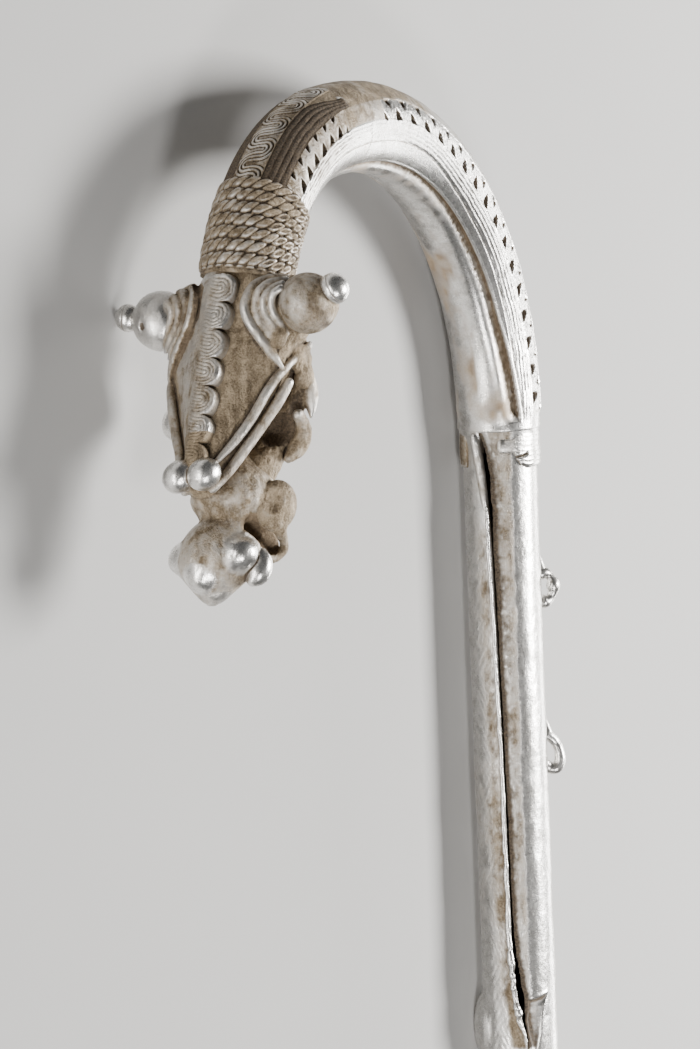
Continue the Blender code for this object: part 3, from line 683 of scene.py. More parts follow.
class ShaftSkin:
    """A grid of places on the shaft, its relief in mm, and its masks for dirt and painted shade, and for
    polish and painted highlights.
    """

    def __init__(self, height, angle):
        self.height = height
        self.angle = angle
        self.down = -height / MM
        self.arc = shaft_girth(angle)
        self.thread_side, bare_side = slit_edges(height)
        self.past_bare = shaft_girth(bare_side - angle)
        self.past_thread = shaft_girth(angle - self.thread_side)
        self.in_slit = window(height, SLIT_ENDS[1], SLIT_ENDS[0], 0.003)
        self.relief = 0.16 * self.noise((22.0, 7.0), 71)
        self.relief += 0.06 * self.noise((4.0, 2.6), 73)
        self.relief += 0.035 * self.noise((1.3, 1.0), 75)
        self.dirt_and_shade = np.zeros_like(height)
        self.polish_and_highlight = np.zeros_like(height)

    def noise(self, cells, seed):
        """Noise over the shaft, with cells of so many mm down it and round it."""
        return sheet_noise(self.down, self.arc, cells, seed)

    def thread_line(self, place, spread):
        """A soft line beside the slit's thread, below the slit's wide top, where painted shade is laid."""
        line = hump(self.past_thread, place, spread) * (self.past_thread > -0.2)
        return line * self.in_slit * smooth_step(self.down, 30.0, 60.0)


def add_lips(skin):
    """The bare side of the slit: an uneven lip with small crumbs of metal, painted shade on its bevel and
    beside the thread, and earth beside it.
    """
    beside, down, in_slit = skin.past_bare, skin.down, skin.in_slit
    on_lip = beside > -0.5
    outside = beside > 0.0
    lip = hump(beside, 0.0, 0.9) * on_lip * in_slit
    skin.relief += lip * (0.05 + 0.22 * skin.noise((1.0, 1.2), 77))
    bevel = hump(beside, 0.0, 1.8) * on_lip * in_slit
    skin.relief -= 0.85 * bevel
    # The bevel into the slit is darkened, most near the foot: painted shade in the channel.
    skin.dirt_and_shade += (0.52 + 0.25 * smooth_step(down, 185.0, 205.0)) * bevel
    crumbs = unit(skin.noise((1.1, 1.0), 79) - 0.45)
    skin.relief += 0.32 * crumbs * (hump(beside, 2.0, 2.4) * outside * in_slit)
    skin.dirt_and_shade += 0.34 * hump(beside, 1.5, 3.4) * outside * in_slit
    skin.dirt_and_shade += 0.14 * unit(skin.noise((24.0, 6.0), 90) + 0.4 * skin.noise((6.0, 3.0), 96))
    # A soft darker line along the thread: painted shade.
    skin.dirt_and_shade += 0.24 * skin.thread_line(0.0, 2.6)


def add_hatching(skin):
    """Faint crossing strokes on the thread's side."""
    down, arc = skin.down, skin.arc
    zone = window(skin.angle, skin.thread_side + 8.0, HATCHED_SIDE, 6.0)
    zone = zone * window(skin.height, *HATCHED_ENDS, 0.010)
    patch = unit(0.5 + 0.9 * skin.noise((9.0, 5.0), 83))
    first = strands(down * 0.55 + arc + 0.4 * skin.noise((5.0, 3.0), 85), 1.9)
    second = strands(down * 0.60 - arc + 0.4 * skin.noise((5.0, 3.0), 87), 2.7)
    strokes = patch * (first - 0.8) + (1.0 - patch) * (second - 0.8)
    skin.relief += 0.16 * zone * strokes
    skin.dirt_and_shade += 0.50 * zone * unit(-strokes - 0.05)


def add_flare(skin):
    """The flare at the slit's foot, a ball set off the middle, in low vertical lobes."""
    ball_radius, offset, soft = 9.0, 7.5, 0.5
    share = (skin.height - FLARE_HEIGHT) / 0.0165
    across = np.radians(skin.angle - FLARE_ANGLE)
    ball = ball_radius * np.sqrt(unit(1.0 - share ** 2))
    chord = ball ** 2 - (offset * np.sin(across)) ** 2
    facing = (chord > 0.0) & (np.cos(across) > 0.0)
    bulge = np.where(facing, offset * np.cos(across) + np.sqrt(above(chord)), 0.0) - SHAFT_RADIUS / MM
    lobes = 0.30 * np.sin(across * 9.0 + 0.6) * unit(bulge / 1.5)
    merged = 0.5 * (bulge + skin.relief + np.sqrt((bulge - skin.relief) ** 2 + soft ** 2))
    skin.relief += smooth_step(bulge, -3.0, -0.8) * (merged - skin.relief) + lobes
    rough = window(skin.height, -0.250, -0.205, 0.008) * window(skin.angle, 165.0, 235.0, 10.0)
    skin.relief += rough * 0.12 * skin.noise((8.0, 1.4), 89)


def add_scoop(skin):
    """The leaf-shaped scoop right of the slit's foot, under a sharp edge, with a bright rim; its bowl holds
    painted shade and the rim a painted highlight.
    """
    height, angle = skin.height, skin.angle
    top_edge = SCOOP_TOP + 0.0012 * np.clip((140.0 - angle) / 36.0, 0.0, 1.2) ** 2
    right_side = along_table(height, SCOOP_RIGHT)
    left_side = along_table(height, SCOOP_LEFT)
    width = np.clip(left_side - right_side, 1.0, None)
    place = unit((angle - right_side) / width)
    under = smooth_step(top_edge - height, 0.0, 0.0007) * (height > SCOOP_FOOT)
    bowl = np.sin(math.pi * place ** 0.8) ** 0.7 * under * unit(width / 18.0)
    skin.relief -= 1.15 * bowl
    # The bowl is darkened, most under its top edge: painted shade and a painted shadow of the edge.
    skin.polish_and_highlight -= 0.20 * bowl
    skin.dirt_and_shade += 0.34 * bowl + 0.6 * bowl * hump(top_edge - height, 0.0, 0.0010)
    rim = hump(angle - left_side, 1.6, 2.0) * window(height, -0.2265, -0.2150, 0.002)
    skin.relief += 0.75 * rim
    # The rim is made bright: a painted highlight.
    skin.polish_and_highlight += rim
    skin.relief += 0.18 * hump(top_edge - height, -0.0005, 0.0006) * window(angle, 106.0, 137.0, 5.0)


def add_wear(skin):
    """Earth, wear and painted light: brown on the near front, a painted highlight on the band from 40 to 128
    degrees round, painted shade by the slit and beside its thread, and bright wear on the foot ring.
    """
    height, angle = skin.height, skin.angle
    skin.dirt_and_shade += 0.06 * window(height, -0.060, -0.018, 0.012) * window(angle, 118.0, 165.0, 12.0)
    # A painted highlight on the band from 40 to 128 degrees round, facing the light.
    skin.polish_and_highlight += 0.62 + 0.33 * window(angle, 40.0, 128.0, 14.0)
    # Painted shade by the slit and beside its thread.
    skin.polish_and_highlight -= 0.24 * window(angle, 138.0, 166.0, 10.0) * skin.in_slit
    skin.polish_and_highlight -= 0.30 * skin.thread_line(3.5, 3.0)
    skin.polish_and_highlight += 0.5 * window(height, STAFF_FOOT, STAFF_FOOT + FOOT_RING_HEIGHT + 0.0016, 0.001)


def shaft_rows():
    """Heights of the rows down the shaft, closer by the slit."""
    heights = list(SLEEVE_TOP + np.array((0.0022, 0.0016, 0.0012, 0.0006, 0.0)))
    place = SLEEVE_TOP
    for end, count in (
        (SLIT_ENDS[0], 4), (-0.0600, 90), (-0.1950, 200), (SLIT_ENDS[1], 66), (-0.2450, 34),
        (STAFF_FOOT + 0.034, 110), (STAFF_FOOT + 0.0140, 30), (STAFF_FOOT + 0.0030, 6), (STAFF_FOOT, 8),
    ):
        heights.extend(np.linspace(place, end, count)[1:])
        place = end
    return np.array(heights)


def chamber_wall(height, left, right, left_radius, right_radius):
    """The lips and the hollow's wall, from the slit's bare side round to its thread side."""
    wall = CHAMBER_RADIUS / MM
    ends = (CHAMBER_FOOT - 0.011, CHAMBER_FOOT + 0.004, CHAMBER_TOP - 0.004, SLIT_ENDS[0])
    hollow = np.interp(height, ends, (0.3, 1.0, 1.0, 0.3)) * CHAMBER_RADIUS / MM
    spots = [(right, 0.5 * (right_radius + wall))]
    for step in range(CHAMBER_STEPS):
        spots.append((right - 2.0 - step / (CHAMBER_STEPS - 1) * (356.0 - (left - right)), hollow))
    spots.append((left, 0.5 * (left_radius + wall)))
    return np.stack([on_shaft(height, turn, reach * MM) for turn, reach in spots], axis=1)


def fan(ring, tip, flip):
    """Triangles from a closed ring of point numbers to a tip."""
    ahead = np.roll(ring, -1)
    first, second = (ring, ahead) if flip else (ahead, ring)
    return np.stack((first, second, np.full(len(ring), tip)), axis=-1)


def shaft_faces(shape, rows, wall_columns):
    """Quads and end fans over the outer grid and, in the open rows, over the lips and the wall."""
    size = shape[0] * shape[1]
    numbers = np.arange(size).reshape(shape)
    closed = np.ones(shape[0], bool)
    closed[rows] = False
    numbers[closed, -1] = numbers[closed, 0]
    deeper = size + np.arange(len(rows) * wall_columns).reshape(len(rows), wall_columns)
    strip = np.concatenate((numbers[rows, -1:], deeper, numbers[rows, :1]), axis=1)
    quads = [
        np.stack((grid[:-1, :-1], grid[:-1, 1:], grid[1:, 1:], grid[1:, :-1]), axis=-1).reshape(-1, 4)
        for grid in (numbers, strip)
    ]
    tips = size + deeper.size
    fans = (
        fan(numbers[0, :-1], tips, False),
        fan(numbers[-1, :-1], tips + 1, True),
        fan(np.append(strip[0], numbers[rows[0] - 1, 0]), tips + 2, False),
        fan(np.append(strip[-1], numbers[rows[-1] + 1, 0]), tips + 3, True),
    )
    return np.concatenate(quads), np.concatenate(fans)


def make_shaft():
    """A tube with a slit into its hollow upper part, closed at both ends."""
    heights = shaft_rows()
    shares = stepped((0.0, 80.0, 1.5), (80.0, 254.0, 5.0), (254.0, 359.1, 1.5))
    height, share = np.meshgrid(heights, shares / shares[-1], indexing="ij")
    is_open = (heights < SLIT_ENDS[0] - 1e-6) & (heights > SLIT_ENDS[1] + 1e-6)
    middle = along_table(height, SLIT_LINE)
    left, right = (np.where(is_open[:, None], edge, middle) for edge in slit_edges(height))
    angle = left + share * (right + 360.0 - left)
    skin = ShaftSkin(height, np.where(angle > 332.0, angle - 360.0, angle))
    for add in (add_lips, add_hatching, add_flare, add_scoop, add_wear):
        add(skin)
    relief = skin.relief * smooth_step(skin.down, -SLEEVE_TOP / MM, 9.0)
    dirt_and_shade, polish_and_highlight = unit(skin.dirt_and_shade), unit(skin.polish_and_highlight)
    for grid in (relief, dirt_and_shade, polish_and_highlight):
        joined = 0.5 * (grid[:, 0] + grid[:, -1])
        grid[~is_open, 0] = joined[~is_open]
        grid[~is_open, -1] = joined[~is_open]
    radius = shaft_radius(height) + relief
    outer = on_shaft(height, angle, radius * MM)

    rows = np.flatnonzero(is_open)
    inner = chamber_wall(heights[rows], left[rows, 0], right[rows, 0], radius[rows, 0], radius[rows, -1])
    quads, fans = shaft_faces(height.shape, rows, inner.shape[1])
    roof, base = (on_shaft(heights[row], np.array(150.0), np.array(0.002)) for row in rows[[0, -1]])
    ends = np.stack((outer[0, :-1].mean(axis=0), outer[-1, :-1].mean(axis=0), roof, base))
    points = np.concatenate((outer.reshape(-1, 3), inner.reshape(-1, 3), ends))
    deep = hollows(relief, (3, 3))
    # Hollows are darkened as dirt and painted shade, and crowns brightened as wear.
    masks = finish_masks(dirt_and_shade + unit(deep * 1.5), polish_and_highlight + unit(-deep * 1.6))
    # The hollow's wall is painted fully dark: painted shade inside the slit.
    dark = np.tile((1.0, 0.0, 0.0), (inner.shape[0] * inner.shape[1] + 4, 1))
    dark[-4:-2] = 0.0
    make_piece("shaft", points, quads, fans, np.concatenate((masks.reshape(-1, 3), dark)))


# Wires, loops and collar on the shaft

ROD_CAPS = ((0.98, 0.20), (0.80, 0.60), (0.45, 0.89))


def smooth_path(points, count):
    """A Catmull-Rom path through points, at evenly spread parameters."""
    points = np.asarray(points, float)
    knots = np.concatenate((2.0 * points[:1] - points[1:2], points, 2.0 * points[-1:] - points[-2:-1]))
    places = np.linspace(0.0, len(points) - 1.0, count)
    number = np.clip(places.astype(int), 0, len(points) - 2)
    share = (places - number)[:, None]
    return catmull(*(knots[number + step] for step in range(4)), share)


def catmull(before, start, end, after, share):
    """A place between start and end on the smooth curve through four points."""
    return 0.5 * (
        2.0 * start + (end - before) * share + (2.0 * before - 5.0 * start + 4.0 * end - after) * share ** 2
        + (3.0 * start - before - 3.0 * end + after) * share ** 3
    )


def domed(path, radii):
    """A rod's path and radii with a small dome added at each end."""
    ahead = (path[1] - path[0]) / np.linalg.norm(path[1] - path[0])
    behind = (path[-1] - path[-2]) / np.linalg.norm(path[-1] - path[-2])
    front = [path[0] - ahead * radii[0] * reach for reach, _ in ROD_CAPS]
    back = [path[-1] + behind * radii[-1] * reach for reach, _ in reversed(ROD_CAPS)]
    sizes = np.array([size for _, size in ROD_CAPS])
    radii = np.concatenate((radii[0] * sizes, radii, radii[-1] * sizes[::-1]))
    return np.concatenate((front, path, back)), radii


def rod_mesh(path, radii, sides, closed=False):
    """A round rod along a path, with domed ends unless it is a closed ring."""
    path = np.asarray(path, float)
    radii = np.asarray(radii, float)
    if closed:
        tangents = np.roll(path, -1, axis=0) - np.roll(path, 1, axis=0)
    else:
        path, radii = domed(path, radii)
        tangents = np.gradient(path, axis=0)
    tangents = tangents / np.linalg.norm(tangents, axis=1, keepdims=True)
    first = np.cross(tangents, np.array((0.31, 0.86, 0.41)))
    first = first / np.linalg.norm(first, axis=1, keepdims=True)
    second = np.cross(tangents, first)
    turn = np.arange(sides) / sides * math.tau
    offsets = np.cos(turn)[None, :, None] * first[:, None] + np.sin(turn)[None, :, None] * second[:, None]
    return path[:, None] + offsets * radii[:, None, None]


def rod_piece(name, points, finish, closed=False):
    """A piece from a rod's grid of points with one finish all over."""
    if closed:
        rows, columns = points.shape[:2]
        flat = points.reshape(-1, 3)
        quads = grid_faces(rows + 1, columns) % (rows * columns)
        fans = ()
    else:
        flat, quads, fans = tube_mesh(points)
    grain = noise(flat, 0.0022, 5)[:, None]
    masks = unit(np.asarray(finish, float) + grain * np.array((0.08, 0.12, 0.0)))
    make_piece(name, flat, quads, fans, masks)


# Height in metres, angle, and radius in mm of the thread.
THREAD_LINE = (
    (-0.0325, 177.5, 0.35), (-0.0360, 176.8, 0.50), (-0.0460, 175.6, 0.50), (-0.0810, 171.6, 0.50),
    (-0.1000, 170.0, 0.52), (-0.1310, 167.4, 0.55), (-0.1610, 166.4, 0.62), (-0.1870, 165.2, 0.85),
    (-0.1990, 162.5, 0.85), (-0.2060, 160.5, 0.72), (-0.2085, 159.6, 0.60), (-0.2110, 157.8, 0.72),
    (-0.2137, 155.8, 1.02), (-0.2155, 156.6, 0.60), (-0.2170, 155.5, 0.62), (-0.2192, 151.5, 0.50),
    (-0.2222, 146.6, 0.36), (-0.2240, 144.0, 0.20),
)
THREAD_SWELL = 1.15
# Height in mm, angle, radius and distance from the shaft's middle in mm of the finger of wax.
FINGER_LINE = (
    (-7.6, 192.0, 1.45, 13.9), (-10.0, 191.4, 1.75, 13.6), (-15.0, 190.0, 1.75, 12.9),
    (-21.0, 187.6, 1.70, 12.2), (-27.0, 184.8, 1.50, 12.0), (-33.0, 181.8, 1.20, 11.9),
    (-38.0, 179.5, 0.8, 11.9),
)
# Height, half height, lean, and the swelling and the waves of the thread, of each loop.
LOOPS = ((LOOP_HEIGHTS[0], 0.0050, 0.0, 0.20, 4.0), (LOOP_HEIGHTS[1], 0.0061, 0.0014, 0.10, 2.0))
LOOP_RISE = 0.0036
LOOP_THREAD = 0.0020
SPUR_LENGTH = 0.0065


def make_thread():
    """The thin beaded wire along the slit's lip."""
    table = [(height / MM, angle, THREAD_SWELL * radius) for height, angle, radius in THREAD_LINE]
    down, angle, radius = smooth_path(table, 420).T

    def waver(cell, seed):
        return sheet_noise(down, np.zeros_like(down), (cell, 1.0), seed)

    radius = radius * (1.0 + 0.16 * waver(1.6, 91) + 0.08 * waver(0.7, 92))
    radius = radius * (1.0 + 0.5 * unit(waver(3.1, 93) - 0.35))
    angle = angle + 0.9 * waver(2.8, 94) + 0.4 * waver(1.0, 95)
    path = on_shaft(down * MM, angle, SHAFT_RADIUS + (0.25 + 0.70 * radius) * MM)
    rod_piece("slit_thread", rod_mesh(path, radius * MM, 12), (0.0, 1.0, 0.0))


def make_finger():
    """The rounded tail of wax beside the slit's top."""
    down, angle, radius, sit = smooth_path(FINGER_LINE, 60).T
    radius = radius * (1.0 + 0.05 * sheet_noise(down, down * 0.0, (1.5, 1.0), 97))
    path = on_shaft(down * MM, angle, sit * MM)
    rod_piece("slit_finger", rod_mesh(path, radius * MM, 24), (0.10, 0.55, 0.0))


def make_loops():
    """The two small loops on the far front, each with a tapering spur above."""
    turn = np.arange(72) / 72 * math.tau
    share = np.linspace(0.0, 1.0, 26)
    for number, (height, reach, lean, swell, waves) in enumerate(LOOPS, 1):
        base = on_shaft(height, np.array(LOOP_ANGLE), np.array(SHAFT_RADIUS + 0.0009))
        out = on_shaft(height, np.array(LOOP_ANGLE), np.array(1.0)) - spine(shaft_heading(height))[0]
        out = out / np.linalg.norm(out)
        path = base + reach * np.cos(turn)[:, None] * UP
        path = path + (LOOP_RISE * np.sin(turn) - lean * np.cos(turn))[:, None] * out
        path = path + (0.0006 * noise(path, 0.004, 100 + number))[:, None] * np.cross(out, UP)
        thread = LOOP_THREAD * (1.0 + swell * np.cos(waves * turn + 0.3))
        thread = thread * (1.0 + 0.08 * noise(path, 0.0016, 102 + number))
        rod_piece(f"loop_{number}", rod_mesh(path, thread, 28, closed=True), (0.0, 0.85, 0.0), closed=True)
        sit = SHAFT_RADIUS + 0.0008 * (1.0 - 1.6 * share)
        path = on_shaft(height + reach + SPUR_LENGTH * share, np.full(len(share), LOOP_ANGLE), sit)
        radii = LOOP_THREAD * (0.95 - 0.70 * share) * (1.0 + 0.06 * noise(path, 0.0015, 107))
        rod_piece(f"loop_spur_{number}", rod_mesh(path, radii, 20), (0.0, 0.7, 0.0))


# Angles round the shaft, and heights in mm of the collar's upper and lower edge.
COLLAR_TOP_EDGE = ((-150.0, -7.2), (-120.0, -6.0), (115.0, -6.0), (126.0, -6.6), (135.0, -8.2))
COLLAR_FOOT_EDGE = (
    (-150.0, -19.0), (-120.0, -19.6), (108.0, -19.6), (120.0, -18.2), (127.0, -16.0), (131.0, -13.8),
)
COLLAR_TAIL = 157.0
COLLAR_END = -150.5
COLLAR_GAP = -14.9
COLLAR_WIRE = 1.75


def collar_relief(angle, down, place, round_off):
    """The wound strap's relief in mm, its wires, the gap in it, and its plain tail."""
    wander = 0.5 * sheet_noise(angle, down, (22.0, 40.0), 111)
    phase = (down - 0.02 * (angle - 60.0) + wander + 19.6) / COLLAR_WIRE
    wires = strands(phase, 1.0)
    size = 1.0 + 0.25 * (lot(np.floor(phase), phase * 0, 113) - 0.5)
    tail = smooth_step(angle, 124.0, 136.0)
    strap = 0.45 + 0.75 * np.sqrt(unit(1.0 - place ** 2))
    ribs = (0.12 + 0.30 * smooth_step(-place, -0.2, 0.5)) * smooth_step(angle, -130.0, -60.0)
    relief = (1.0 - tail) * (1.10 + ribs * wires * size) + tail * 0.95 * strap
    gap = hump(down - COLLAR_GAP + 0.05 * (angle - 120.0), 0.0, 0.45) * window(angle, 111.0, 128.0, 4.0)
    relief -= 1.1 * gap
    relief = relief * np.sqrt(unit(1.0 - np.abs(place) ** 8)) * (0.2 + 0.8 * round_off[:, None])
    relief += 0.04 * sheet_noise(angle, down, (9.0, 1.6), 115)
    return relief, wires, gap, tail


def make_collar():
    """The wound strap of wires under the crook, from its rounded tail round the outside to the far side."""
    angles = stepped((COLLAR_TAIL, 60.0, -0.6), (60.0, -60.0, -3.0), (-60.0, -151.0, -1.6))
    top = along_table(angles, COLLAR_TOP_EDGE)
    foot = along_table(angles, COLLAR_FOOT_EDGE)
    ends = unit((COLLAR_TAIL - angles) / 7.0) * unit((angles - COLLAR_END) / 4.0)
    round_off = np.sqrt(unit(1.0 - (1.0 - ends) ** 2))
    middle = 0.5 * (top + foot)
    half = 0.5 * (top - foot) * (0.15 + 0.85 * round_off)
    angle, place = np.meshgrid(angles, np.linspace(-1.0, 1.0, 45), indexing="ij")
    down = middle[:, None] + half[:, None] * place
    relief, wires, gap, tail = collar_relief(angle, down, place, round_off)
    outer = on_shaft(down * MM, angle, SHAFT_RADIUS + relief * MM)
    inner_angle, inner_place = np.meshgrid(angles, np.array((0.9, 0.0, -0.9)), indexing="ij")
    inner_down = middle[:, None] + half[:, None] * inner_place
    inner = on_shaft(inner_down * MM, inner_angle, np.full(inner_angle.shape, SHAFT_RADIUS - 0.0012))
    deep = hollows(relief, (1, 3))
    # Hollows and the gap in the strap are darkened: dirt and painted shade.
    dirt_and_shade = unit(deep * 1.5 + gap)
    polish_and_highlight = unit(0.58 + 0.1 * wires - 1.0 * deep - 0.30 * smooth_step(-angle, 110.0, 135.0) - 0.12 * tail)
    masks = np.concatenate((finish_masks(dirt_and_shade, polish_and_highlight), np.zeros(inner.shape)), axis=1)
    tube_piece("wire_collar", np.concatenate((outer, inner), axis=1), masks)


# Clay: a block of signed distances that shapes are pressed onto and cut from

CLAY_MARGIN = 2.5
CLAY_EMPTY = 6.0
ROD_STEPS = 5


def crossed_cells(inside):
    """The cells that the surface crosses, and a number for each of them in a grid of cells."""
    shape = inside.shape
    count = sum(
        inside[dx:shape[0] - 1 + dx, dy:shape[1] - 1 + dy, dz:shape[2] - 1 + dz].astype(np.int8)
        for dx, dy, dz in itertools.product((0, 1), repeat=3)
    )
    cells = np.argwhere((count > 0) & (count < 8))
    numbers = np.full(count.shape, -1, np.int64)
    numbers[tuple(cells.T)] = np.arange(len(cells))
    return cells, numbers


class Clay:
    """Signed distances in mm on a grid over the head, with the finish of the last shape pressed on."""

    def __init__(self, low, high, step):
        self.step = step
        self.low = np.array(low, float)
        self.counts = np.ceil((np.array(high) - self.low) / step).astype(int) + 1
        self.field = np.full(self.counts, CLAY_EMPTY, np.float32)
        self.paint = np.zeros((*self.counts, 3), np.float32)

    def patch(self, low, high):
        """The grid's slices between two corners, and open coordinate arrays over them."""
        start = np.clip(np.floor((np.array(low) - self.low) / self.step).astype(int), 0, self.counts)
        stop = np.clip(np.ceil((np.array(high) - self.low) / self.step).astype(int) + 1, 0, self.counts)
        slices = tuple(slice(a, b) for a, b in zip(start, stop))
        axes = [self.low[axis] + self.step * np.arange(start[axis], stop[axis]) for axis in range(3)]
        return slices, np.meshgrid(*axes, indexing="ij", sparse=True)

    def colour(self, slices, finish, share):
        """Moves the finish of a patch towards a new one."""
        self.paint[slices] += (np.array(finish, np.float32) - self.paint[slices]) * share[..., None]

    def press(self, slices, distance, blend, finish):
        """Adds a shape, with a fillet of about the blend's width."""
        here = self.field[slices]
        if blend > 0.0:
            share = unit(0.5 + 0.5 * (here - distance) / blend)
            self.field[slices] = here + (distance - here) * share - blend * share * (1.0 - share)
        else:
            share = (distance < here).astype(np.float32)
            self.field[slices] = np.minimum(here, distance)
        self.colour(slices, finish, np.where(distance < 1.5, share, 0.0))

    def carve(self, slices, distance, blend, finish):
        """Cuts a shape away, with a rounded rim."""
        here = self.field[slices]
        negative = -distance
        share = unit(0.5 + 0.5 * (negative - here) / blend)
        self.field[slices] = here + (negative - here) * share + blend * share * (1.0 - share)
        self.colour(slices, finish, smooth_step(negative - here, -0.7, 0.0))

    def ball(self, centre, radii, blend, finish, cut=False, turn=0.0):
        """An ellipsoid, turned about the head's length from the front towards the near side."""
        centre = np.array(centre, float)
        radii = np.array(radii, float) * np.ones(3)
        reach = radii.max() + CLAY_MARGIN if turn else radii + CLAY_MARGIN
        slices, (front, side, down) = self.patch(centre - reach, centre + reach)
        front, side, down = front - centre[0], side - centre[1], down - centre[2]
        ahead, beside = math.cos(math.radians(turn)), math.sin(math.radians(turn))
        front, side = ahead * front + beside * side, ahead * side - beside * front
        parts = [axis / radius for axis, radius in zip((front, side, down), radii)]
        size = np.sqrt(sum(part ** 2 for part in parts)) + 1e-6
        slope = np.sqrt(sum((part / radius) ** 2 for part, radius in zip(parts, radii))) + 1e-6
        (self.carve if cut else self.press)(slices, size * (size - 1.0) / slope, blend, finish)

    def rod(self, path, radii, blend, finish, cut=False):
        """A rounded rod through points, its radius changing along it."""
        table = np.column_stack((np.asarray(path, float), np.ones(len(path)) * radii))
        table = smooth_path(table, (len(table) - 1) * ROD_STEPS + 1)
        points, radii = table[:, :3], np.clip(table[:, 3], 0.05, None)
        reach = radii.max() + CLAY_MARGIN
        slices, axes = self.patch(points.min(axis=0) - reach, points.max(axis=0) + reach)
        best = np.full(np.broadcast_shapes(*(axis.shape for axis in axes)), 9.0, np.float32)
        for start, end, first, last in zip(points[:-1], points[1:], radii[:-1], radii[1:]):
            along = end - start
            offsets = [axis - value for axis, value in zip(axes, start)]
            share = sum(offset * value for offset, value in zip(offsets, along)) / max(along @ along, 1e-9)
            share = unit(share)
            gap = np.sqrt(sum((offset - share * value) ** 2 for offset, value in zip(offsets, along)))
            best = np.minimum(best, gap - (first + (last - first) * share))
        (self.carve if cut else self.press)(slices, best, blend, finish)

    def loft(self, stations, section, blend, finish):
        """A body through closed sections (front, side) at stations down the head."""
        stations = smooth_path(stations, 8 * len(stations))
        low, high = stations[0, 0], stations[-1, 0]
        slices, (front, side, down) = self.patch((*self.low[:2], low - 3.0), (99.0, 99.0, high + 3.0))
        front, side = front[:, :, 0], side[:, :, 0]
        levels = down.ravel()
        distance = np.full((*np.broadcast_shapes(front.shape, side.shape), len(levels)), 6.0, np.float32)
        for number, level in enumerate(levels):
            place = np.clip(level, low, high)
            sizes = [np.interp(place, stations[:, 0], column) for column in stations.T[1:]]
            flat = polygon_distance(front, side, section(*sizes))
            if place != level:
                flat = np.hypot(above(flat), place - level) + np.clip(flat, None, 0.0)
            inner = min(level - low, high - level)
            if place == level and inner < 6.0:
                flat = np.maximum(flat.astype(np.float32), -inner)
            distance[:, :, number] = flat
        self.press(slices, distance, blend, finish)

    def soften(self):
        """Rounds the whole form by two passes of a small blur along each axis."""
        for axis in range(3):
            for _ in range(2):
                before = np.roll(self.field, 1, axis=axis)
                after = np.roll(self.field, -1, axis=axis)
                self.field = (0.25 * before + 0.5 * self.field + 0.25 * after).astype(np.float32)

    def crowding(self, reach):
        """Share of solid in a box of the reach round each grid point."""
        values = unit(0.5 - self.field / self.step).astype(np.float32)
        steps = max(1, round(reach / self.step))
        width = 2 * steps + 1
        for axis in range(3):
            edges = [[steps + 1, steps] if number == axis else [0, 0] for number in range(3)]
            total = np.cumsum(np.pad(values, edges, mode="edge"), axis=axis, dtype=np.float64)
            upper = total.take(range(width, total.shape[axis]), axis=axis)
            lower = total.take(range(0, total.shape[axis] - width), axis=axis)
            values = ((upper - lower) / width).astype(np.float32)
        return values

    def cell_spots(self, cells):
        """In each cell, the middle of the places where the surface crosses its edges."""
        total = np.zeros((len(cells), 3))
        hits = np.zeros(len(cells))
        for axis in range(3):
            others = [number for number in range(3) if number != axis]
            for shifts in itertools.product((0, 1), repeat=2):
                start = cells.copy()
                start[:, others] += shifts
                end = start.copy()
                end[:, axis] += 1
                low, high = self.field[tuple(start.T)], self.field[tuple(end.T)]
                crossed = (low < 0.0) != (high < 0.0)
                share = np.where(crossed, low / np.where(crossed, low - high, 1.0), 0.0)
                spot = start.astype(float)
                spot[:, axis] += share
                total[crossed] += spot[crossed]
                hits[crossed] += 1
        return total / hits[:, None]

    def surface(self):
        """Points and quads of the zero surface, one point in each cell that it crosses."""
        field = self.field
        field[0], field[-1], field[:, 0], field[:, -1], field[:, :, 0], field[:, :, -1] = (CLAY_EMPTY,) * 6
        inside = field < 0.0
        cells, numbers = crossed_cells(inside)
        quads = []
        for axis in range(3):
            ahead = np.take(inside, range(1, inside.shape[axis]), axis=axis)
            here = np.take(inside, range(inside.shape[axis] - 1), axis=axis)
            others = [(axis + 1) % 3, (axis + 2) % 3]
            for flip, crossing in ((False, here & ~ahead), (True, ahead & ~here)):
                edges = np.argwhere(crossing)
                ring = []
                for shifts in ((0, 0), (1, 0), (1, 1), (0, 1)):
                    cell = edges.copy()
                    cell[:, others] -= shifts
                    ring.append(numbers[tuple(cell.T)])
                quad = np.stack(ring, axis=-1)
                quads.append(quad[:, ::-1] if flip else quad)
        return self.cell_spots(cells), np.concatenate(quads)


def polygon_distance(first, second, ring):
    """Signed distance to a closed outline, negative inside."""
    ring = np.asarray(ring, float)
    best = np.full(np.broadcast_shapes(first.shape, second.shape), 1e9)
    inside = np.zeros(best.shape, bool)
    for start, end in zip(ring, np.roll(ring, -1, axis=0)):
        along = end - start
        offset = (first - start[0], second - start[1])
        share = unit((offset[0] * along[0] + offset[1] * along[1]) / max(along @ along, 1e-9))
        best = np.minimum(best, (offset[0] - share * along[0]) ** 2 + (offset[1] - share * along[1]) ** 2)
        if along[1] != 0.0:
            crosses = (start[1] > second) != (end[1] > second)
            reach = start[0] + (second - start[1]) / along[1] * along[0]
            inside ^= crosses & (first < reach)
    gap = np.sqrt(best)
    return np.where(inside, -gap, gap)


def rounded_ring(near, far):
    """A closed outline from both halves of its points, given from the front as (front, side)."""
    ring = np.array(list(near) + [(front, -side) for front, side in reversed(far)], float)
    smooth = []
    for step in range(len(ring)):
        before, start, end, after = (ring[(step + shift) % len(ring)] for shift in (-1, 0, 1, 2))
        for share in (0.0, 0.34, 0.67):
            curve = catmull(before, start, end, after, share)
            smooth.append(0.55 * curve + 0.45 * (start + (end - start) * share))
    return smooth


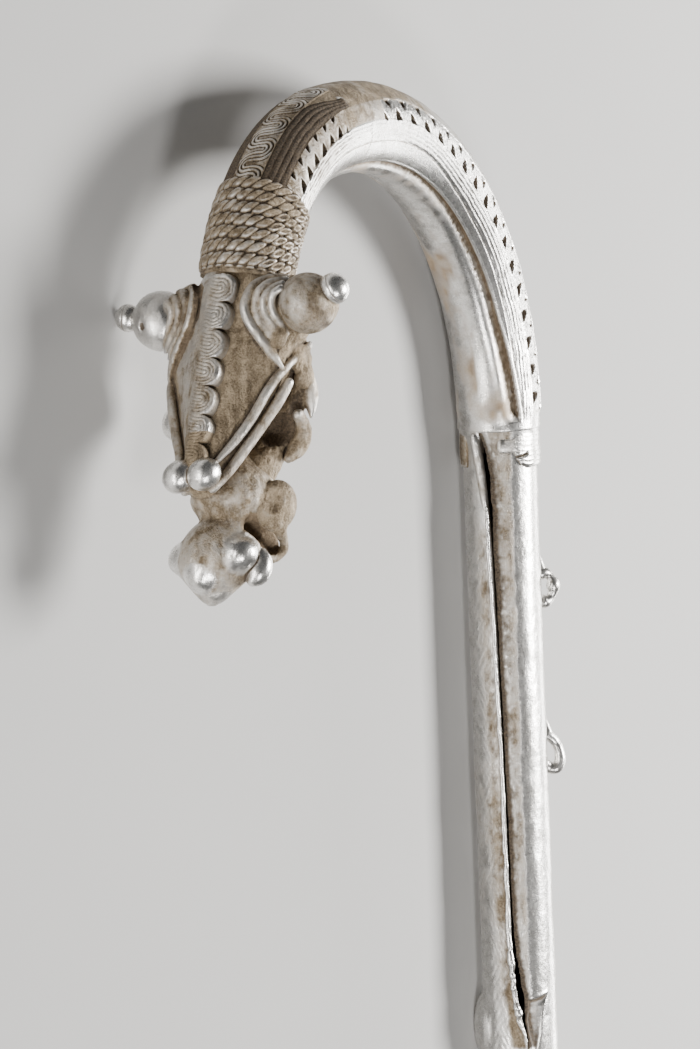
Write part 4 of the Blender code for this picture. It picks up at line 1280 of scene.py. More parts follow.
# The head, in mm towards the face, the near side and the chin

HEAD_LOW = (-20.5, -27.5, -7.5)
HEAD_HIGH = (27.0, 27.5, 77.5)
HEAD_STEP = 0.475
CREST_LOW = (6.0, -10.0, -1.0)
CREST_HIGH = (25.0, 8.0, 73.5)
CREST_STEP = 0.29
SMALL_HEAD_LOW = (-21.5, -16.5, 54.0)
SMALL_HEAD_HIGH = (12.5, 25.5, 110.5)
SMALL_HEAD_STEP = 0.41
# Station down the head, half width, and the face ridge, panel, widest, cheek and back depths.
SKULL = (
    (-5.0, 13.0, 12.0, 11.0, 0.0, -9.0, -13.0), (1.0, 15.5, 13.5, 12.0, 1.0, -10.0, -14.0),
    (7.0, 18.5, 14.5, 13.0, 2.0, -11.0, -15.0), (14.0, 20.5, 15.0, 13.0, 3.0, -12.0, -15.0),
    (24.0, 21.5, 16.0, 13.0, 4.0, -12.0, -14.0), (31.0, 20.5, 16.5, 13.5, 5.0, -10.0, -12.0),
    (38.0, 18.8, 17.0, 13.5, 4.0, -2.0, -4.0), (48.0, 15.4, 17.5, 14.0, 5.0, -0.5, -2.0),
    (58.0, 10.8, 18.0, 15.0, 7.5, 2.0, 1.0), (66.0, 7.6, 18.5, 16.0, 10.0, 5.0, 4.0),
    (73.0, 5.5, 18.0, 16.0, 12.0, 8.0, 7.0),
)
# Station, half width, top and bottom of the lower jaw.
JAW = (
    (22.0, 17.0, -5.0, -15.5), (32.0, 20.5, -7.5, -17.0), (42.0, 20.5, -9.0, -18.0),
    (50.0, 18.6, -9.0, -18.0), (57.0, 14.5, -9.5, -17.0), (62.0, 9.0, -10.5, -15.0),
)
# Station, depth and side of the middle, and radius of the small head's neck.
THROAT = (
    (58.0, -7.0, 0.5, 7.0), (63.0, -6.8, 1.2, 10.4), (67.0, -6.5, 2.0, 12.4), (74.0, -6.0, 2.5, 13.9),
    (79.5, -7.2, 3.2, 11.6), (84.0, -8.0, 3.6, 10.6), (90.0, -7.6, 3.2, 11.2), (96.0, -7.0, 2.0, 8.0),
)
# The small head's radius below the middle of its bulb.
BULB = (
    (-12.5, 5.0), (-9.0, 9.6), (-4.0, 12.2), (2.0, 12.9), (6.0, 11.4), (10.0, 7.9), (13.5, 4.3), (15.4, 1.4),
)
BULB_MIDDLE = 92.0
SOCKET_RIDGES = (
    ((6.3, 18.0, 4.7), (9.7, 13.8, 4.9), (13.3, 10.8, 7.6), (15.3, 9.6, 12.4), (15.2, 9.9, 16.7),
     (13.7, 11.9, 20.9), (11.6, 15.0, 25.3), (9.0, 17.7, 29.4), (5.8, 20.4, 33.6)),
    ((8.6, 19.0, 5.7), (12.0, 15.7, 6.9), (14.2, 13.2, 10.0), (13.9, 12.4, 13.9), (13.3, 13.2, 17.5),
     (11.8, 15.6, 21.2), (10.0, 18.0, 24.4), (8.0, 20.0, 27.2)),
    ((11.3, 19.6, 7.8), (13.1, 17.2, 9.4), (13.9, 15.6, 12.1), (13.4, 15.3, 15.1), (12.5, 16.4, 18.3),
     (10.8, 18.9, 21.9), (8.6, 21.3, 25.0)),
    ((13.6, 20.4, 9.8), (14.1, 18.6, 11.5), (13.3, 18.0, 14.4), (12.0, 19.0, 17.8), (10.2, 20.6, 20.8),
     (8.4, 22.3, 23.4)),
)
SOCKET_RADII = (1.65, 1.45, 1.40, 1.30)
SOCKET_TIP = 0.7
CHEEK_RIDGE = (
    (-12.2, 19.5, 21.9), (-8.0, 21.2, 24.2), (-1.9, 21.4, 28.2), (4.2, 20.0, 34.6), (7.4, 17.4, 41.5),
    (9.4, 13.8, 51.0), (12.0, 9.9, 59.0), (15.0, 6.0, 65.5),
)
CHEEK_RADII = (1.0, 1.3, 1.4, 1.5, 1.6, 1.6, 1.5, 0.9)
LIP_BAR = (
    (1.0, 21.0, 38.0), (2.0, 19.3, 43.0), (3.8, 16.2, 50.0), (7.0, 11.8, 60.0), (10.0, 8.2, 68.0),
    (12.5, 5.0, 73.5),
)
LIP_RADII = (1.7, 1.9, 1.9, 1.8, 1.7, 1.5)
TUSK = ((-10.4, 21.4, 33.6), (-12.6, 21.8, 37.6), (-14.2, 21.8, 41.4), (-15.4, 21.7, 45.6))
TUSK_RADII = (2.2, 2.5, 2.0, 0.5)
NEAR_MOUTH = ((-4.5, 21.0, 38.0), (-8.0, 20.4, 46.0), (-9.4, 18.6, 53.0))
NEAR_MOUTH_RADII = (3.6, 4.6, 4.0)
FAR_MOUTH = ((-4.5, -20.0, 41.0), (-5.5, -17.0, 48.0), (-6.0, -12.5, 56.0))
FAR_MOUTH_RADII = (3.4, 4.2, 3.2)
JAW_LOBE = (
    (-9.8, 20.0, 45.8), (-12.2, 20.2, 47.4), (-14.6, 20.0, 50.2), (-15.2, 19.2, 53.4), (-14.4, 18.2, 56.6),
    (-12.4, 17.2, 59.4),
)
JAW_LOBE_RADII = (1.8, 2.0, 2.6, 3.2, 2.9, 1.6)
TONGUE = ((-12.0, 9.0, 57.5), (-9.6, 8.0, 62.5), (-7.0, 6.5, 68.0))
TONGUE_RADII = (6.3, 6.6, 7.0)
FAR_GROOVE_RADII = (1.5, 1.3, 1.15, 1.05, 0.95, 0.85, 0.7, 0.5)
# Places and radii of lumps and hollows; those on both sides are given for the near one.
EYE_MOUND = ((2.0, 17.0, 14.6), (10.6, 9.8, 12.2))
NEAR_EYE_BAG = ((9.2, 20.2, 25.0), (2.6, 2.4, 3.4))
UPPER_HINGE = ((-5.0, 20.6, 28.4), (5.6, 3.0, 4.6))
LOWER_HINGE = ((-8.6, 20.9, 33.2), (4.2, 2.8, 4.4))
NOSTRIL = ((18.6, 4.5, 70.0), 5.4)
MOUTH_HOLLOW = ((-7.0, 13.5, 50.0), (6.0, 5.4, 6.0))
FAR_CHEEK = ((-7.8, -22.4, 44.5), (5.8, 5.6, 6.2))

# Finishes: dirt and painted shade, polish and painted highlights, and ochre earth.
TAN = (0.05, 0.06, 0.0)
BRIGHT = (0.0, 0.95, 0.0)
RIDGE = (0.0, 0.31, 0.0)
OCHRE = (0.60, 0.0, 0.40)
# MOUTH is almost all darkening: painted shade in the mouth's hollow, with a little earth.
MOUTH = (1.0, 0.0, 0.10)


def skull_section(wide, ridge, panel, widest, cheek, back):
    """The upper head's outline at one station; the near panel lies below the crest."""
    sides = ((widest, wide), (cheek, 0.86 * wide), (back, 0.40 * wide))
    near = ((ridge - 2.1, 0.12 * wide), (panel - 0.2, 0.52 * wide), *sides)
    far = ((ridge + 0.9, 0.12 * wide), (panel, 0.52 * wide), *sides)
    return rounded_ring(near, far)


def jaw_section(wide, top, bottom):
    """The lower jaw's outline at one station."""
    depth = top - bottom
    half = (
        (top - 0.12 * depth, 0.45 * wide), (top, 0.93 * wide), (top - 0.5 * depth, wide),
        (bottom + 0.22 * depth, 0.72 * wide), (bottom, 0.25 * wide),
    )
    return rounded_ring(half, half)


def throat_section(front, side, radius):
    """The small head's neck, round."""
    turn = np.arange(24) / 24.0 * math.tau
    return np.column_stack((front + radius * np.cos(turn), side + radius * np.sin(turn)))


def front_heights(clay, side, down):
    """The clay's frontmost surface over the given sides and downs, in mm."""
    inside = clay.field < 0.0
    last = inside.shape[0] - 1 - np.argmax(inside[::-1], axis=0)
    here = np.take_along_axis(clay.field, last[None], axis=0)[0]
    ahead = np.take_along_axis(clay.field, np.minimum(last + 1, inside.shape[0] - 1)[None], axis=0)[0]
    height = clay.low[0] + clay.step * (last + here / (here - ahead))
    grid_side = (side - clay.low[1]) / clay.step
    grid_down = (down - clay.low[2]) / clay.step
    rows = np.array([np.interp(grid_down, np.arange(height.shape[1]), row) for row in height])
    return np.array([np.interp(grid_side, np.arange(height.shape[0]), column) for column in rows.T]).T


CREST_LOBES = 7
CREST_START = 3.0
CREST_PITCH = 66.0 / CREST_LOBES
CURL_PITCH = 1.30
CREST_ROUND_OFF = 1.1


def face_ridge(down):
    """How far the middle of the face stands out, at a place down it."""
    return 14.5 + 4.0 * down / 70.0


def crest_top(skull, side, down):
    """The crest's upper surface, rising from the far panel."""
    panel = front_heights(skull, side[0, :, 0], down[0, 0, :])[None]
    raised = face_ridge(down) + 2.7 - 0.05 * above(side) ** 2 - 1.3 * (1.0 - smooth_step(down, 4.0, 24.0))
    share = smooth_step(side, -6.2, 0.2)
    return (panel + 0.22 - 1.3 * smooth_step(-side, 6.6, 8.6)) * (1.0 - share) + raised * share


def crest_curls(side, down, middle, narrow):
    """The nested curls on each lobe, as grooves from 0 to 1."""
    core = 0.3 * narrow
    lift = 0.16 * above(core - side) ** 1.5
    curl = np.where(side > core, np.hypot(side - core, down - middle), np.abs(down - middle + lift)) / narrow
    curl = curl + 0.35 * sheet_noise(side, down, (2.4, 2.4), 223)
    zone = (1.0 - smooth_step(curl, 4.5, 5.0)) * smooth_step(side - core, -5.0, -3.2)
    return (1.0 - strands(curl + 0.55, CURL_PITCH)) * zone


def press_crest(clay, skull):
    """The scalloped crest, with a step down to the near panel and curls on each lobe."""
    slices, (front, side, down) = clay.patch((7.0, -10.5, -1.0), (26.0, 10.0, 74.0))
    number = np.clip(np.floor((down - CREST_START) / CREST_PITCH), 0, CREST_LOBES - 1)
    middle = CREST_START + CREST_PITCH * (number + 0.5)
    reach = unit(1.0 - ((down - middle - 0.5) / (0.54 * CREST_PITCH)) ** 2)
    narrow = 1.0 - 0.24 * down / 70.0
    edge = (0.9 + 4.5 * np.sqrt(reach)) * narrow
    level = (front - crest_top(skull, side, down) + 0.70 * crest_curls(side, down, middle, narrow)) * 0.95
    bank = (side - edge) * 0.92
    share = unit(0.5 + 0.5 * (bank - level) / CREST_ROUND_OFF)
    distance = level + (bank - level) * share + CREST_ROUND_OFF * share * (1.0 - share)
    for limit in (np.abs(down - 36.2) - 33.4, face_ridge(down) - 4.0 - front, -9.0 - side):
        distance = np.maximum(distance, limit)
    clay.press(slices, distance.astype(np.float32), 0.0, (0.0, 0.40, 0.0))


def press_sides(clay, sign):
    """What the upper head and the jaw carry on each side: sockets, ridges, lips, nostrils and tusks."""
    def turned(path):
        return [(front, sign * side, down) for front, side, down in path]

    def lump(form, blend, finish):
        clay.ball(turned(form[:1])[0], form[1], blend, finish)

    lump(EYE_MOUND, 1.2, TAN)
    if sign > 0.0:
        clay.rod(NEAR_MOUTH, NEAR_MOUTH_RADII, 0.6, MOUTH, cut=True)
        clay.ball(*MOUTH_HOLLOW, 1.6, MOUTH, cut=True)
    else:
        clay.rod(FAR_MOUTH, FAR_MOUTH_RADII, 1.0, MOUTH, cut=True)
    for path, radius in zip(SOCKET_RIDGES, SOCKET_RADII):
        clay.rod(turned(path), [radius] * (len(path) - 1) + [SOCKET_TIP], 0.2, RIDGE)
    clay.rod(turned(CHEEK_RIDGE), CHEEK_RADII, 0.3, RIDGE)
    clay.rod(turned(LIP_BAR), LIP_RADII, 0.25, RIDGE)
    lump(NOSTRIL, 0.3, (0.0, 0.86, 0.0))
    if sign > 0.0:
        lump(NEAR_EYE_BAG, 1.0, TAN)
    lump(UPPER_HINGE, 0.9, TAN)
    lump(LOWER_HINGE, 0.8, TAN)
    clay.rod(turned(TUSK), TUSK_RADII, 0.3, RIDGE)
    if sign > 0.0:
        clay.rod(JAW_LOBE, JAW_LOBE_RADII, 0.6, (0.05, 0.10, 0.0))
    else:
        clay.ball(*FAR_CHEEK, 0.8, BRIGHT)
        groove = [(front + 1.5, -side + 2.3, down) for front, side, down in SOCKET_RIDGES[0][1:]]
        clay.rod(groove, FAR_GROOVE_RADII, 0.3, (0.7, 0.0, 0.3), cut=True)


def sampled(grid, spots):
    """Values of a grid at places between its points."""
    base = np.clip(np.floor(spots).astype(int), 0, np.array(grid.shape[:3]) - 2)
    return sum(weight * grid[tuple((base + corner).T)] for corner, weight in corner_weights(spots - base))


def cast_grain(points, seed):
    """The skin's small bumps and flow marks, and its pits, in mm."""
    front, side, down = points.T
    streaks = noise(np.column_stack((front, side + 0.35 * down, 0.30 * down - 0.1 * side)), 0.9, seed + 7)
    bumps = 0.12 * noise(points, 2.6, seed) + 0.09 * noise(points, 1.1, seed + 1) + 0.11 * streaks
    return bumps, unit(noise(points, 1.6, seed + 2) - 0.64)


def finish_clay(clay, name, seed, rough):
    """A piece from a clay's surface, with cast grain, and masks from its hollows and edges; its hollows are
    darkened as earth and painted shade.
    """
    close = clay.crowding(1.2)
    wide = clay.crowding(4.2)
    spots, quads = clay.surface()
    cell = tuple(np.clip(np.rint(spots).astype(int), 0, np.array(clay.counts) - 1).T)
    points = clay.low + clay.step * spots
    slope = np.stack([sampled(np.gradient(clay.field, axis=axis), spots) for axis in range(3)], axis=-1)
    slope /= np.linalg.norm(slope, axis=1, keepdims=True) + 1e-9
    dirt_and_shade, polish_and_highlight, earth = clay.paint[cell].T
    calm = 1.0 - 0.75 * unit((polish_and_highlight - 0.06) / 0.09)
    bumps, pits = cast_grain(points, seed)
    points = points + slope * ((bumps * rough(points) - 1.3 * pits) * calm)[:, None]
    crowd, shade = sampled(close, spots), sampled(wide, spots)
    # Crowded places, hollows and pits are darkened: earth and painted shade.
    low = unit((crowd - 0.535) * 5.0) + unit((shade - 0.56) * 3.0) + 1.4 * pits * calm
    shine = polish_and_highlight * (1.0 - 0.8 * unit(low)) + 0.36 * unit((0.47 - crowd) * 3.2)
    masks = finish_masks(dirt_and_shade + low, shine, earth)
    points[:, 2] -= HEAD_SKEW * points[:, 1]
    make_piece(name, head_world(points), quads, (), masks)


def rougher(points, amount, patches):
    """An amount of grain that grows round some places, each with its spread and how much more."""
    for place, spread, more in patches:
        away = points - np.array(place)
        amount = amount + more * np.exp(-(away ** 2).sum(axis=1) / spread ** 2)
    return amount


# Cheek plates, the skin under the eyes, and the tongue, on both sides alike.
HEAD_ROUGH = (
    ((-5.5, 21.5, 29.0), 5.0, 1.3), ((5.0, 20.0, 27.0), 3.5, 1.3), ((-9.0, 12.0, 58.0), 6.0, 1.3),
)
# The broken rim, the disc, and the folds of the bulb.
SMALL_HEAD_ROUGH = (
    ((5.0, 12.0, 82.0), 5.0, 1.6), ((-5.0, 19.0, 76.0), 5.0, 0.8), ((5.0, 3.0, 92.0), 5.0, 0.9),
)


def head_roughness(points):
    """Grain of the head, the same on both sides."""
    return rougher(np.column_stack((points[:, 0], np.abs(points[:, 1]), points[:, 2])), 1.5, HEAD_ROUGH)


def small_head_roughness(points):
    """Grain of the small head."""
    return rougher(points, 1.35, SMALL_HEAD_ROUGH)


def crest_roughness(points):
    """Grain of the crest, the same all over."""
    return 0.6


def make_head():
    """The animal's head with its jaw, sockets and ridges, and the crest down its face."""
    clay = Clay(HEAD_LOW, HEAD_HIGH, HEAD_STEP)
    clay.loft(JAW, jaw_section, 0.8, TAN)
    clay.loft(SKULL, skull_section, 0.8, TAN)
    clay.soften()
    skull = Clay(HEAD_LOW, HEAD_HIGH, HEAD_STEP)
    skull.field = clay.field.copy()
    slices, (front, side, _) = clay.patch((4.0, *HEAD_LOW[1:]), HEAD_HIGH)
    # Painted light on the far half of the face, painted shade on the near half.
    far_painted_light = smooth_step(-side, 0.0, 5.0)[..., None] * np.array((0.0, 0.40, 0.0), np.float32)
    near_painted_shade = smooth_step(side, 2.0, 6.0)[..., None] * np.array((0.16, 0.0, 0.0), np.float32)
    clay.paint[slices] += smooth_step(front, 6.0, 11.0)[..., None] * (far_painted_light + near_painted_shade)
    clay.rod(TONGUE, TONGUE_RADII, 0.8, TAN)
    for sign in (1.0, -1.0):
        press_sides(clay, sign)
    finish_clay(clay, "head", 201, head_roughness)

    crest = Clay(CREST_LOW, CREST_HIGH, CREST_STEP)
    press_crest(crest, skull)
    finish_clay(crest, "crest", 221, crest_roughness)


# The small head under the jaws

# Place, radii, blend and finish of its bulging cheeks, chin and side.
BULGES = (
    ((-2.0, -9.8, 92.0), (5.6, 6.0, 5.6), 1.8, BRIGHT),
    ((-1.0, 9.6, 92.6), (6.4, 6.4, 5.8), 1.6, (0.05, 0.75, 0.0)),
    ((2.0, -1.0, 99.0), (5.0, 4.8, 5.2), 2.4, BRIGHT),
    ((-4.6, 0.6, 103.4), (4.4, 4.4, 3.6), 2.0, (0.0, 0.7, 0.0)),
    ((-12.0, 9.6, 87.6), (8.8, 6.8, 6.4), 1.2, TAN),
)
TROUGH = (
    (4.2, 12.6, 81.6), (-1.5, 13.4, 83.0), (-6.0, 14.4, 84.4), (-9.5, 15.6, 86.2), (-13.0, 16.8, 87.4),
    (-16.6, 17.6, 87.9),
)
TROUGH_RADII = (1.3, 3.3, 3.9, 4.5, 4.5, 3.4)
# Place and radii of the hollow behind the rim, the disc beside it, and the disc's dished face.
RIM_HOLLOW = ((-6.0, 10.0, 84.8), (4.8, 5.0, 4.0))
DISC = ((-8.8, 16.8, 75.8), (4.4, 7.4, 8.5))
DISC_DISH = ((-0.4, 21.5, 75.4), (6.0, 6.0, 7.6))
DISC_TURN = 62.0
# Place and radius of the pits by the broken rim.
PITS = (
    (6.6, 12.0, 84.2, 1.1), (5.0, 12.8, 85.6, 1.3), (7.6, 10.8, 85.8, 0.9), (4.0, 12.9, 83.8, 0.9),
    (6.2, 11.8, 87.2, 0.8), (2.2, 13.2, 80.4, 0.7), (4.8, 12.0, 78.8, 0.8), (2.6, 13.0, 76.6, 0.7),
    (6.4, 10.6, 77.0, 0.6),
)
DISC_FOLDS = (
    (((-3.4, 20.6, 69.8), (-2.6, 22.0, 75.0), (-4.6, 21.6, 81.0)), (1.0, 2.6, 1.6), (0.35, 0.0, 0.20)),
    (((-7.2, 22.3, 71.0), (-6.4, 23.2, 76.0), (-8.6, 21.8, 81.6)), (0.6, 1.7, 0.8), (0.30, 0.0, 0.10)),
)
RIM = (
    (0.4, 12.0, 86.2), (-1.6, 12.2, 87.2), (-5.2, 12.8, 88.4), (-8.3, 13.8, 91.0), (-12.0, 14.6, 92.3),
    (-15.6, 15.0, 91.6), (-18.0, 16.2, 88.6), (-16.2, 17.2, 86.2), (-12.8, 17.8, 84.4), (-10.5, 17.8, 82.0),
)
RIM_RADII = (0.3, 0.8, 0.9, 1.0, 1.1, 1.4, 1.6, 1.4, 1.8, 2.5)
DROP = ((-7.6, 14.2, 91.6), (-8.6, 14.2, 94.6), (-8.6, 13.6, 97.4), (-7.8, 12.8, 99.6))
DROP_RADII = (2.0, 3.6, 4.1, 2.6)


def press_bulb(clay):
    """The small head's bulb, round from above."""
    slices, (front, side, down) = clay.patch((-21.0, -16.0, 76.0), (12.0, 18.0, 110.0))
    level = down - BULB_MIDDLE
    radius = np.interp(level, *smooth_path(BULB, 60).T)
    across = np.hypot(front + 4.5, side - 0.3)
    distance = np.maximum((across - radius) * 0.80, np.abs(level - 1.6) - 14.1)
    clay.press(slices, distance.astype(np.float32), 2.6, (0.05, 0.35, 0.0))


def make_small_head():
    """The small head: neck, bulb, bulging cheeks, disc, and the hollow behind its broken rim."""
    clay = Clay(SMALL_HEAD_LOW, SMALL_HEAD_HIGH, SMALL_HEAD_STEP)
    clay.loft(THROAT, throat_section, 0.8, (0.05, 0.27, 0.0))
    clay.soften()
    press_bulb(clay)
    for place, radii, blend, finish in BULGES:
        clay.ball(place, radii, blend, finish)
    clay.rod(TROUGH, TROUGH_RADII, 0.4, OCHRE, cut=True)
    clay.ball(*RIM_HOLLOW, 0.4, OCHRE, cut=True)
    for *place, radius in PITS:
        clay.ball(place, radius, 0.3, (0.7, 0.0, 0.2), cut=True)
    clay.ball(*DISC, 0.4, (0.05, 0.15, 0.0), turn=DISC_TURN)
    clay.ball(*DISC_DISH, 0.5, (0.26, 0.06, 0.08), cut=True)
    for path, radii, finish in DISC_FOLDS:
        clay.rod(path, radii, 0.3, finish, cut=True)
    clay.rod(RIM, RIM_RADII, 1.0, (0.0, 0.18, 0.0))
    clay.rod(DROP, DROP_RADII, 0.0, BRIGHT)
    finish_clay(clay, "small_head", 241, small_head_roughness)


# The eyes

EYE_GRID = 64
EYE_FRONT = 5.5
EYE_DOWN = 13.4
KNOB_STRETCH = 0.93
NECK_FINISH = (0.35, 0.3, 0.0)


def mark_knob(points, local, angle, dirt_and_shade, swell):
    """A dark ring round the knob."""
    band = hump(local, 0.10, 0.06)
    dirt_and_shade += 0.7 * band
    swell -= 0.025 * band


def mark_near_eye(points, local, angle, dirt_and_shade, swell):
    """A crease across the near eye, and a stain above it."""
    crease = local + 0.05 - 0.30 * np.cos(angle + 0.6) - 0.1 * noise(points, 0.4, 215)
    dirt_and_shade += 0.50 * hump(crease, 0.26, 0.22)
    swell -= 0.012 * hump(crease, 0.0, 0.03)
    stain = np.linalg.norm(points - np.array((-0.55, 0.45, 0.70)), axis=-1)
    dirt_and_shade += 0.45 * hump(stain, 0.0, 0.70) * (1.0 + 0.6 * noise(points, 0.3, 217))


def mark_far_eye(points, local, angle, dirt_and_shade, swell):
    """A small round pit in the far eye."""
    hole = np.linalg.norm(points - np.array((0.88, -0.25, 0.40)), axis=-1)
    dirt_and_shade += 2.5 * hump(hole, 0.0, 0.115, 4)
    swell -= 0.20 * hump(hole, 0.0, 0.10, 4)


def eye_ball(name, middle, lean, radius, stretch, seed, polish_and_highlight, mark):
    """A slightly uneven ball round an axis, with its own mark."""
    polar = np.linspace(0.0, math.pi, EYE_GRID)[1:-1]
    height, angle = np.meshgrid(polar, np.arange(EYE_GRID) / EYE_GRID * math.tau, indexing="ij")
    first = np.cross(lean, (0.0, 0.3, 1.0))
    first /= np.linalg.norm(first)
    second = np.cross(lean, first)
    local = np.cos(height) * stretch
    points = local[..., None] * lean + np.sin(height)[..., None] * (
        np.cos(angle)[..., None] * first + np.sin(angle)[..., None] * second
    )
    swell = 1.0 + 0.012 * noise(points, 0.5, seed) + 0.004 * noise(points, 0.12, seed + 1)
    dirt_and_shade = 0.25 * unit(noise(points, 0.35, seed + 3))
    mark(points, local, angle, dirt_and_shade, swell)
    spots = middle + points * (radius * swell)[..., None]
    masks = finish_masks(dirt_and_shade, polish_and_highlight)
    tube_piece(name, head_world(spots), masks, masks[0, :2])


def make_eye(label, sign, eye_side, down_lean, knob, set_back, polish_and_highlight, mark):
    """A bulging eye, with a knob on a short neck."""
    centre = np.array((EYE_FRONT, sign * eye_side, EYE_DOWN - HEAD_SKEW * (sign * eye_side)))
    lean = np.array((0.10, sign, -down_lean))
    lean /= np.linalg.norm(lean)
    reach = (KNOB_TIP - EYE_SIDE) / MM
    tip = centre + lean * (reach - knob * KNOB_STRETCH - set_back)
    eye_ball(f"eye_{label}", centre, lean, EYE_RADIUS / MM, 1.0, 211, polish_and_highlight, mark)
    eye_ball(f"eye_knob_{label}", tip, lean, knob, KNOB_STRETCH, 213, 0.85, mark_knob)
    neck = [centre + lean * distance for distance in np.linspace(7.5, reach - 6.0, 14)]
    radii = (knob - 1.0) + 0.4 * np.cos(np.linspace(0.0, math.tau, 14))
    points = head_world(rod_mesh(neck, radii, 48))
    masks = np.tile(NECK_FINISH, (points.size // 3, 1))
    tube_piece(f"eye_neck_{label}", points, masks, masks[:2])


def make_eyes():
    """Both eyes; the far one stands a little closer in and leans down less."""
    # The far eye's higher polish makes it lighter than the near one: painted light.
    make_eye("near", 1.0, EYE_SIDE / MM, 0.52, 5.2, 1.3, 0.30, mark_near_eye)
    make_eye("far", -1.0, EYE_SIDE / MM - 1.0, 0.04, 4.6, 0.0, 0.62, mark_far_eye)


# Materials

def calculate(tree, operation, first, second=None, third=None, clamp=False):
    """A math node over sockets and numbers."""
    node = tree.nodes.new("ShaderNodeMath")
    node.operation = operation
    node.use_clamp = clamp
    for number, value in enumerate((first, second, third)):
        if isinstance(value, (int, float)):
            node.inputs[number].default_value = value
        elif value is not None:
            tree.links.new(value, node.inputs[number])
    return node.outputs[0]


def weigh(tree, first, weight, second, clamp=False):
    """One value times a weight, plus another."""
    return calculate(tree, "MULTIPLY_ADD", first, weight, second, clamp)


def texture(tree, coordinates, scale, detail, rough=0.55, stretch=(1.0, 1.0, 1.0)):
    """Noise of a cell size, drawn out along an axis if asked."""
    mapping = tree.nodes.new("ShaderNodeMapping")
    mapping.inputs["Scale"].default_value = stretch
    tree.links.new(coordinates, mapping.inputs["Vector"])
    node = tree.nodes.new("ShaderNodeTexNoise")
    node.inputs["Scale"].default_value = scale
    node.inputs["Detail"].default_value = detail
    node.inputs["Roughness"].default_value = rough
    tree.links.new(mapping.outputs[0], node.inputs["Vector"])
    return node.outputs["Fac"]


def ramp(tree, value, low, high):
    """A value taken to 0 at low and 1 at high, softly."""
    node = tree.nodes.new("ShaderNodeMapRange")
    node.interpolation_type = "SMOOTHSTEP"
    node.inputs["From Min"].default_value = low
    node.inputs["From Max"].default_value = high
    tree.links.new(value, node.inputs["Value"])
    return node.outputs[0]


def blend_colours(tree, share, first, second):
    """A mix of two colours, each a socket or a plain colour."""
    node = tree.nodes.new("ShaderNodeMix")
    node.data_type = "RGBA"
    tree.links.new(share, node.inputs[0])
    for number, value in ((6, first), (7, second)):
        if isinstance(value, tuple):
            node.inputs[number].default_value = (*value, 1.0)
        else:
            tree.links.new(value, node.inputs[number])
    return node.outputs[2]


SILVER = ((0.76, 0.745, 0.72), (0.47, 0.455, 0.43))
PATINA = ((0.115, 0.084, 0.050), (0.325, 0.256, 0.172))
EARTH = ((0.030, 0.022, 0.015), (0.105, 0.077, 0.05))
CLAY_OCHRE = ((0.25, 0.175, 0.105), (0.41, 0.31, 0.205))
SHINE_START = 0.98
DUST_START = 0.10
BUMP_DEPTH = 0.0007
# Cells to a metre, detail, roughness and stretch of clouds, patches, long streaks, specks and grain.
METAL_NOISE = (
    (38.0, 3.0, 0.6), (240.0, 5.0, 0.65), (300.0, 4.0, 0.6, (0.16, 1.0, 1.0)), (1500.0, 3.0, 0.6),
    (3600.0, 2.0, 0.5),
)


def mask_sockets(tree):
    """The sockets of the masks that every piece carries: dirt and painted shade, polish and painted
    highlights, and earth.
    """
    attribute = tree.nodes.new("ShaderNodeAttribute")
    attribute.attribute_name = "finish"
    split = tree.nodes.new("ShaderNodeSeparateColor")
    tree.links.new(attribute.outputs["Color"], split.inputs[0])
    return split.outputs


def surface_shader(tree, base, metallic, rough, bump_strength, bump_height):
    """The one shader of the casting, with its fine bump."""
    bump = tree.nodes.new("ShaderNodeBump")
    bump.inputs["Distance"].default_value = BUMP_DEPTH
    tree.links.new(bump_strength, bump.inputs["Strength"])
    tree.links.new(bump_height, bump.inputs["Height"])
    shader = tree.nodes.new("ShaderNodeBsdfPrincipled")
    shader.inputs["Specular IOR Level"].default_value = 0.4
    tree.links.new(base, shader.inputs["Base Color"])
    tree.links.new(metallic, shader.inputs["Metallic"])
    tree.links.new(rough, shader.inputs["Roughness"])
    tree.links.new(bump.outputs[0], shader.inputs["Normal"])
    output = tree.nodes.new("ShaderNodeOutputMaterial")
    tree.links.new(shader.outputs[0], output.inputs["Surface"])


def metal_colour(tree, patch, streak, speck, shine, dust_and_shade, earth):
    """The casting's colours, laid over each other from the patina to the ochre earth."""
    strokes = weigh(tree, streak, 0.40, calculate(tree, "MULTIPLY", speck, 0.35))
    strokes = weigh(tree, patch, 0.25, strokes)
    patina = blend_colours(tree, ramp(tree, strokes, 0.39, 0.61), *PATINA)
    tarnish = weigh(tree, speck, 0.35, calculate(tree, "MULTIPLY", patch, 0.65))
    metal = blend_colours(tree, ramp(tree, tarnish, 0.38, 0.66), *SILVER)
    base = blend_colours(tree, shine, patina, metal)
    browns = blend_colours(tree, ramp(tree, speck, 0.30, 0.68), *EARTH)
    base = blend_colours(tree, dust_and_shade, base, browns)
    ochre = blend_colours(tree, ramp(tree, patch, 0.35, 0.65), *CLAY_OCHRE)
    return blend_colours(tree, earth, base, ochre)


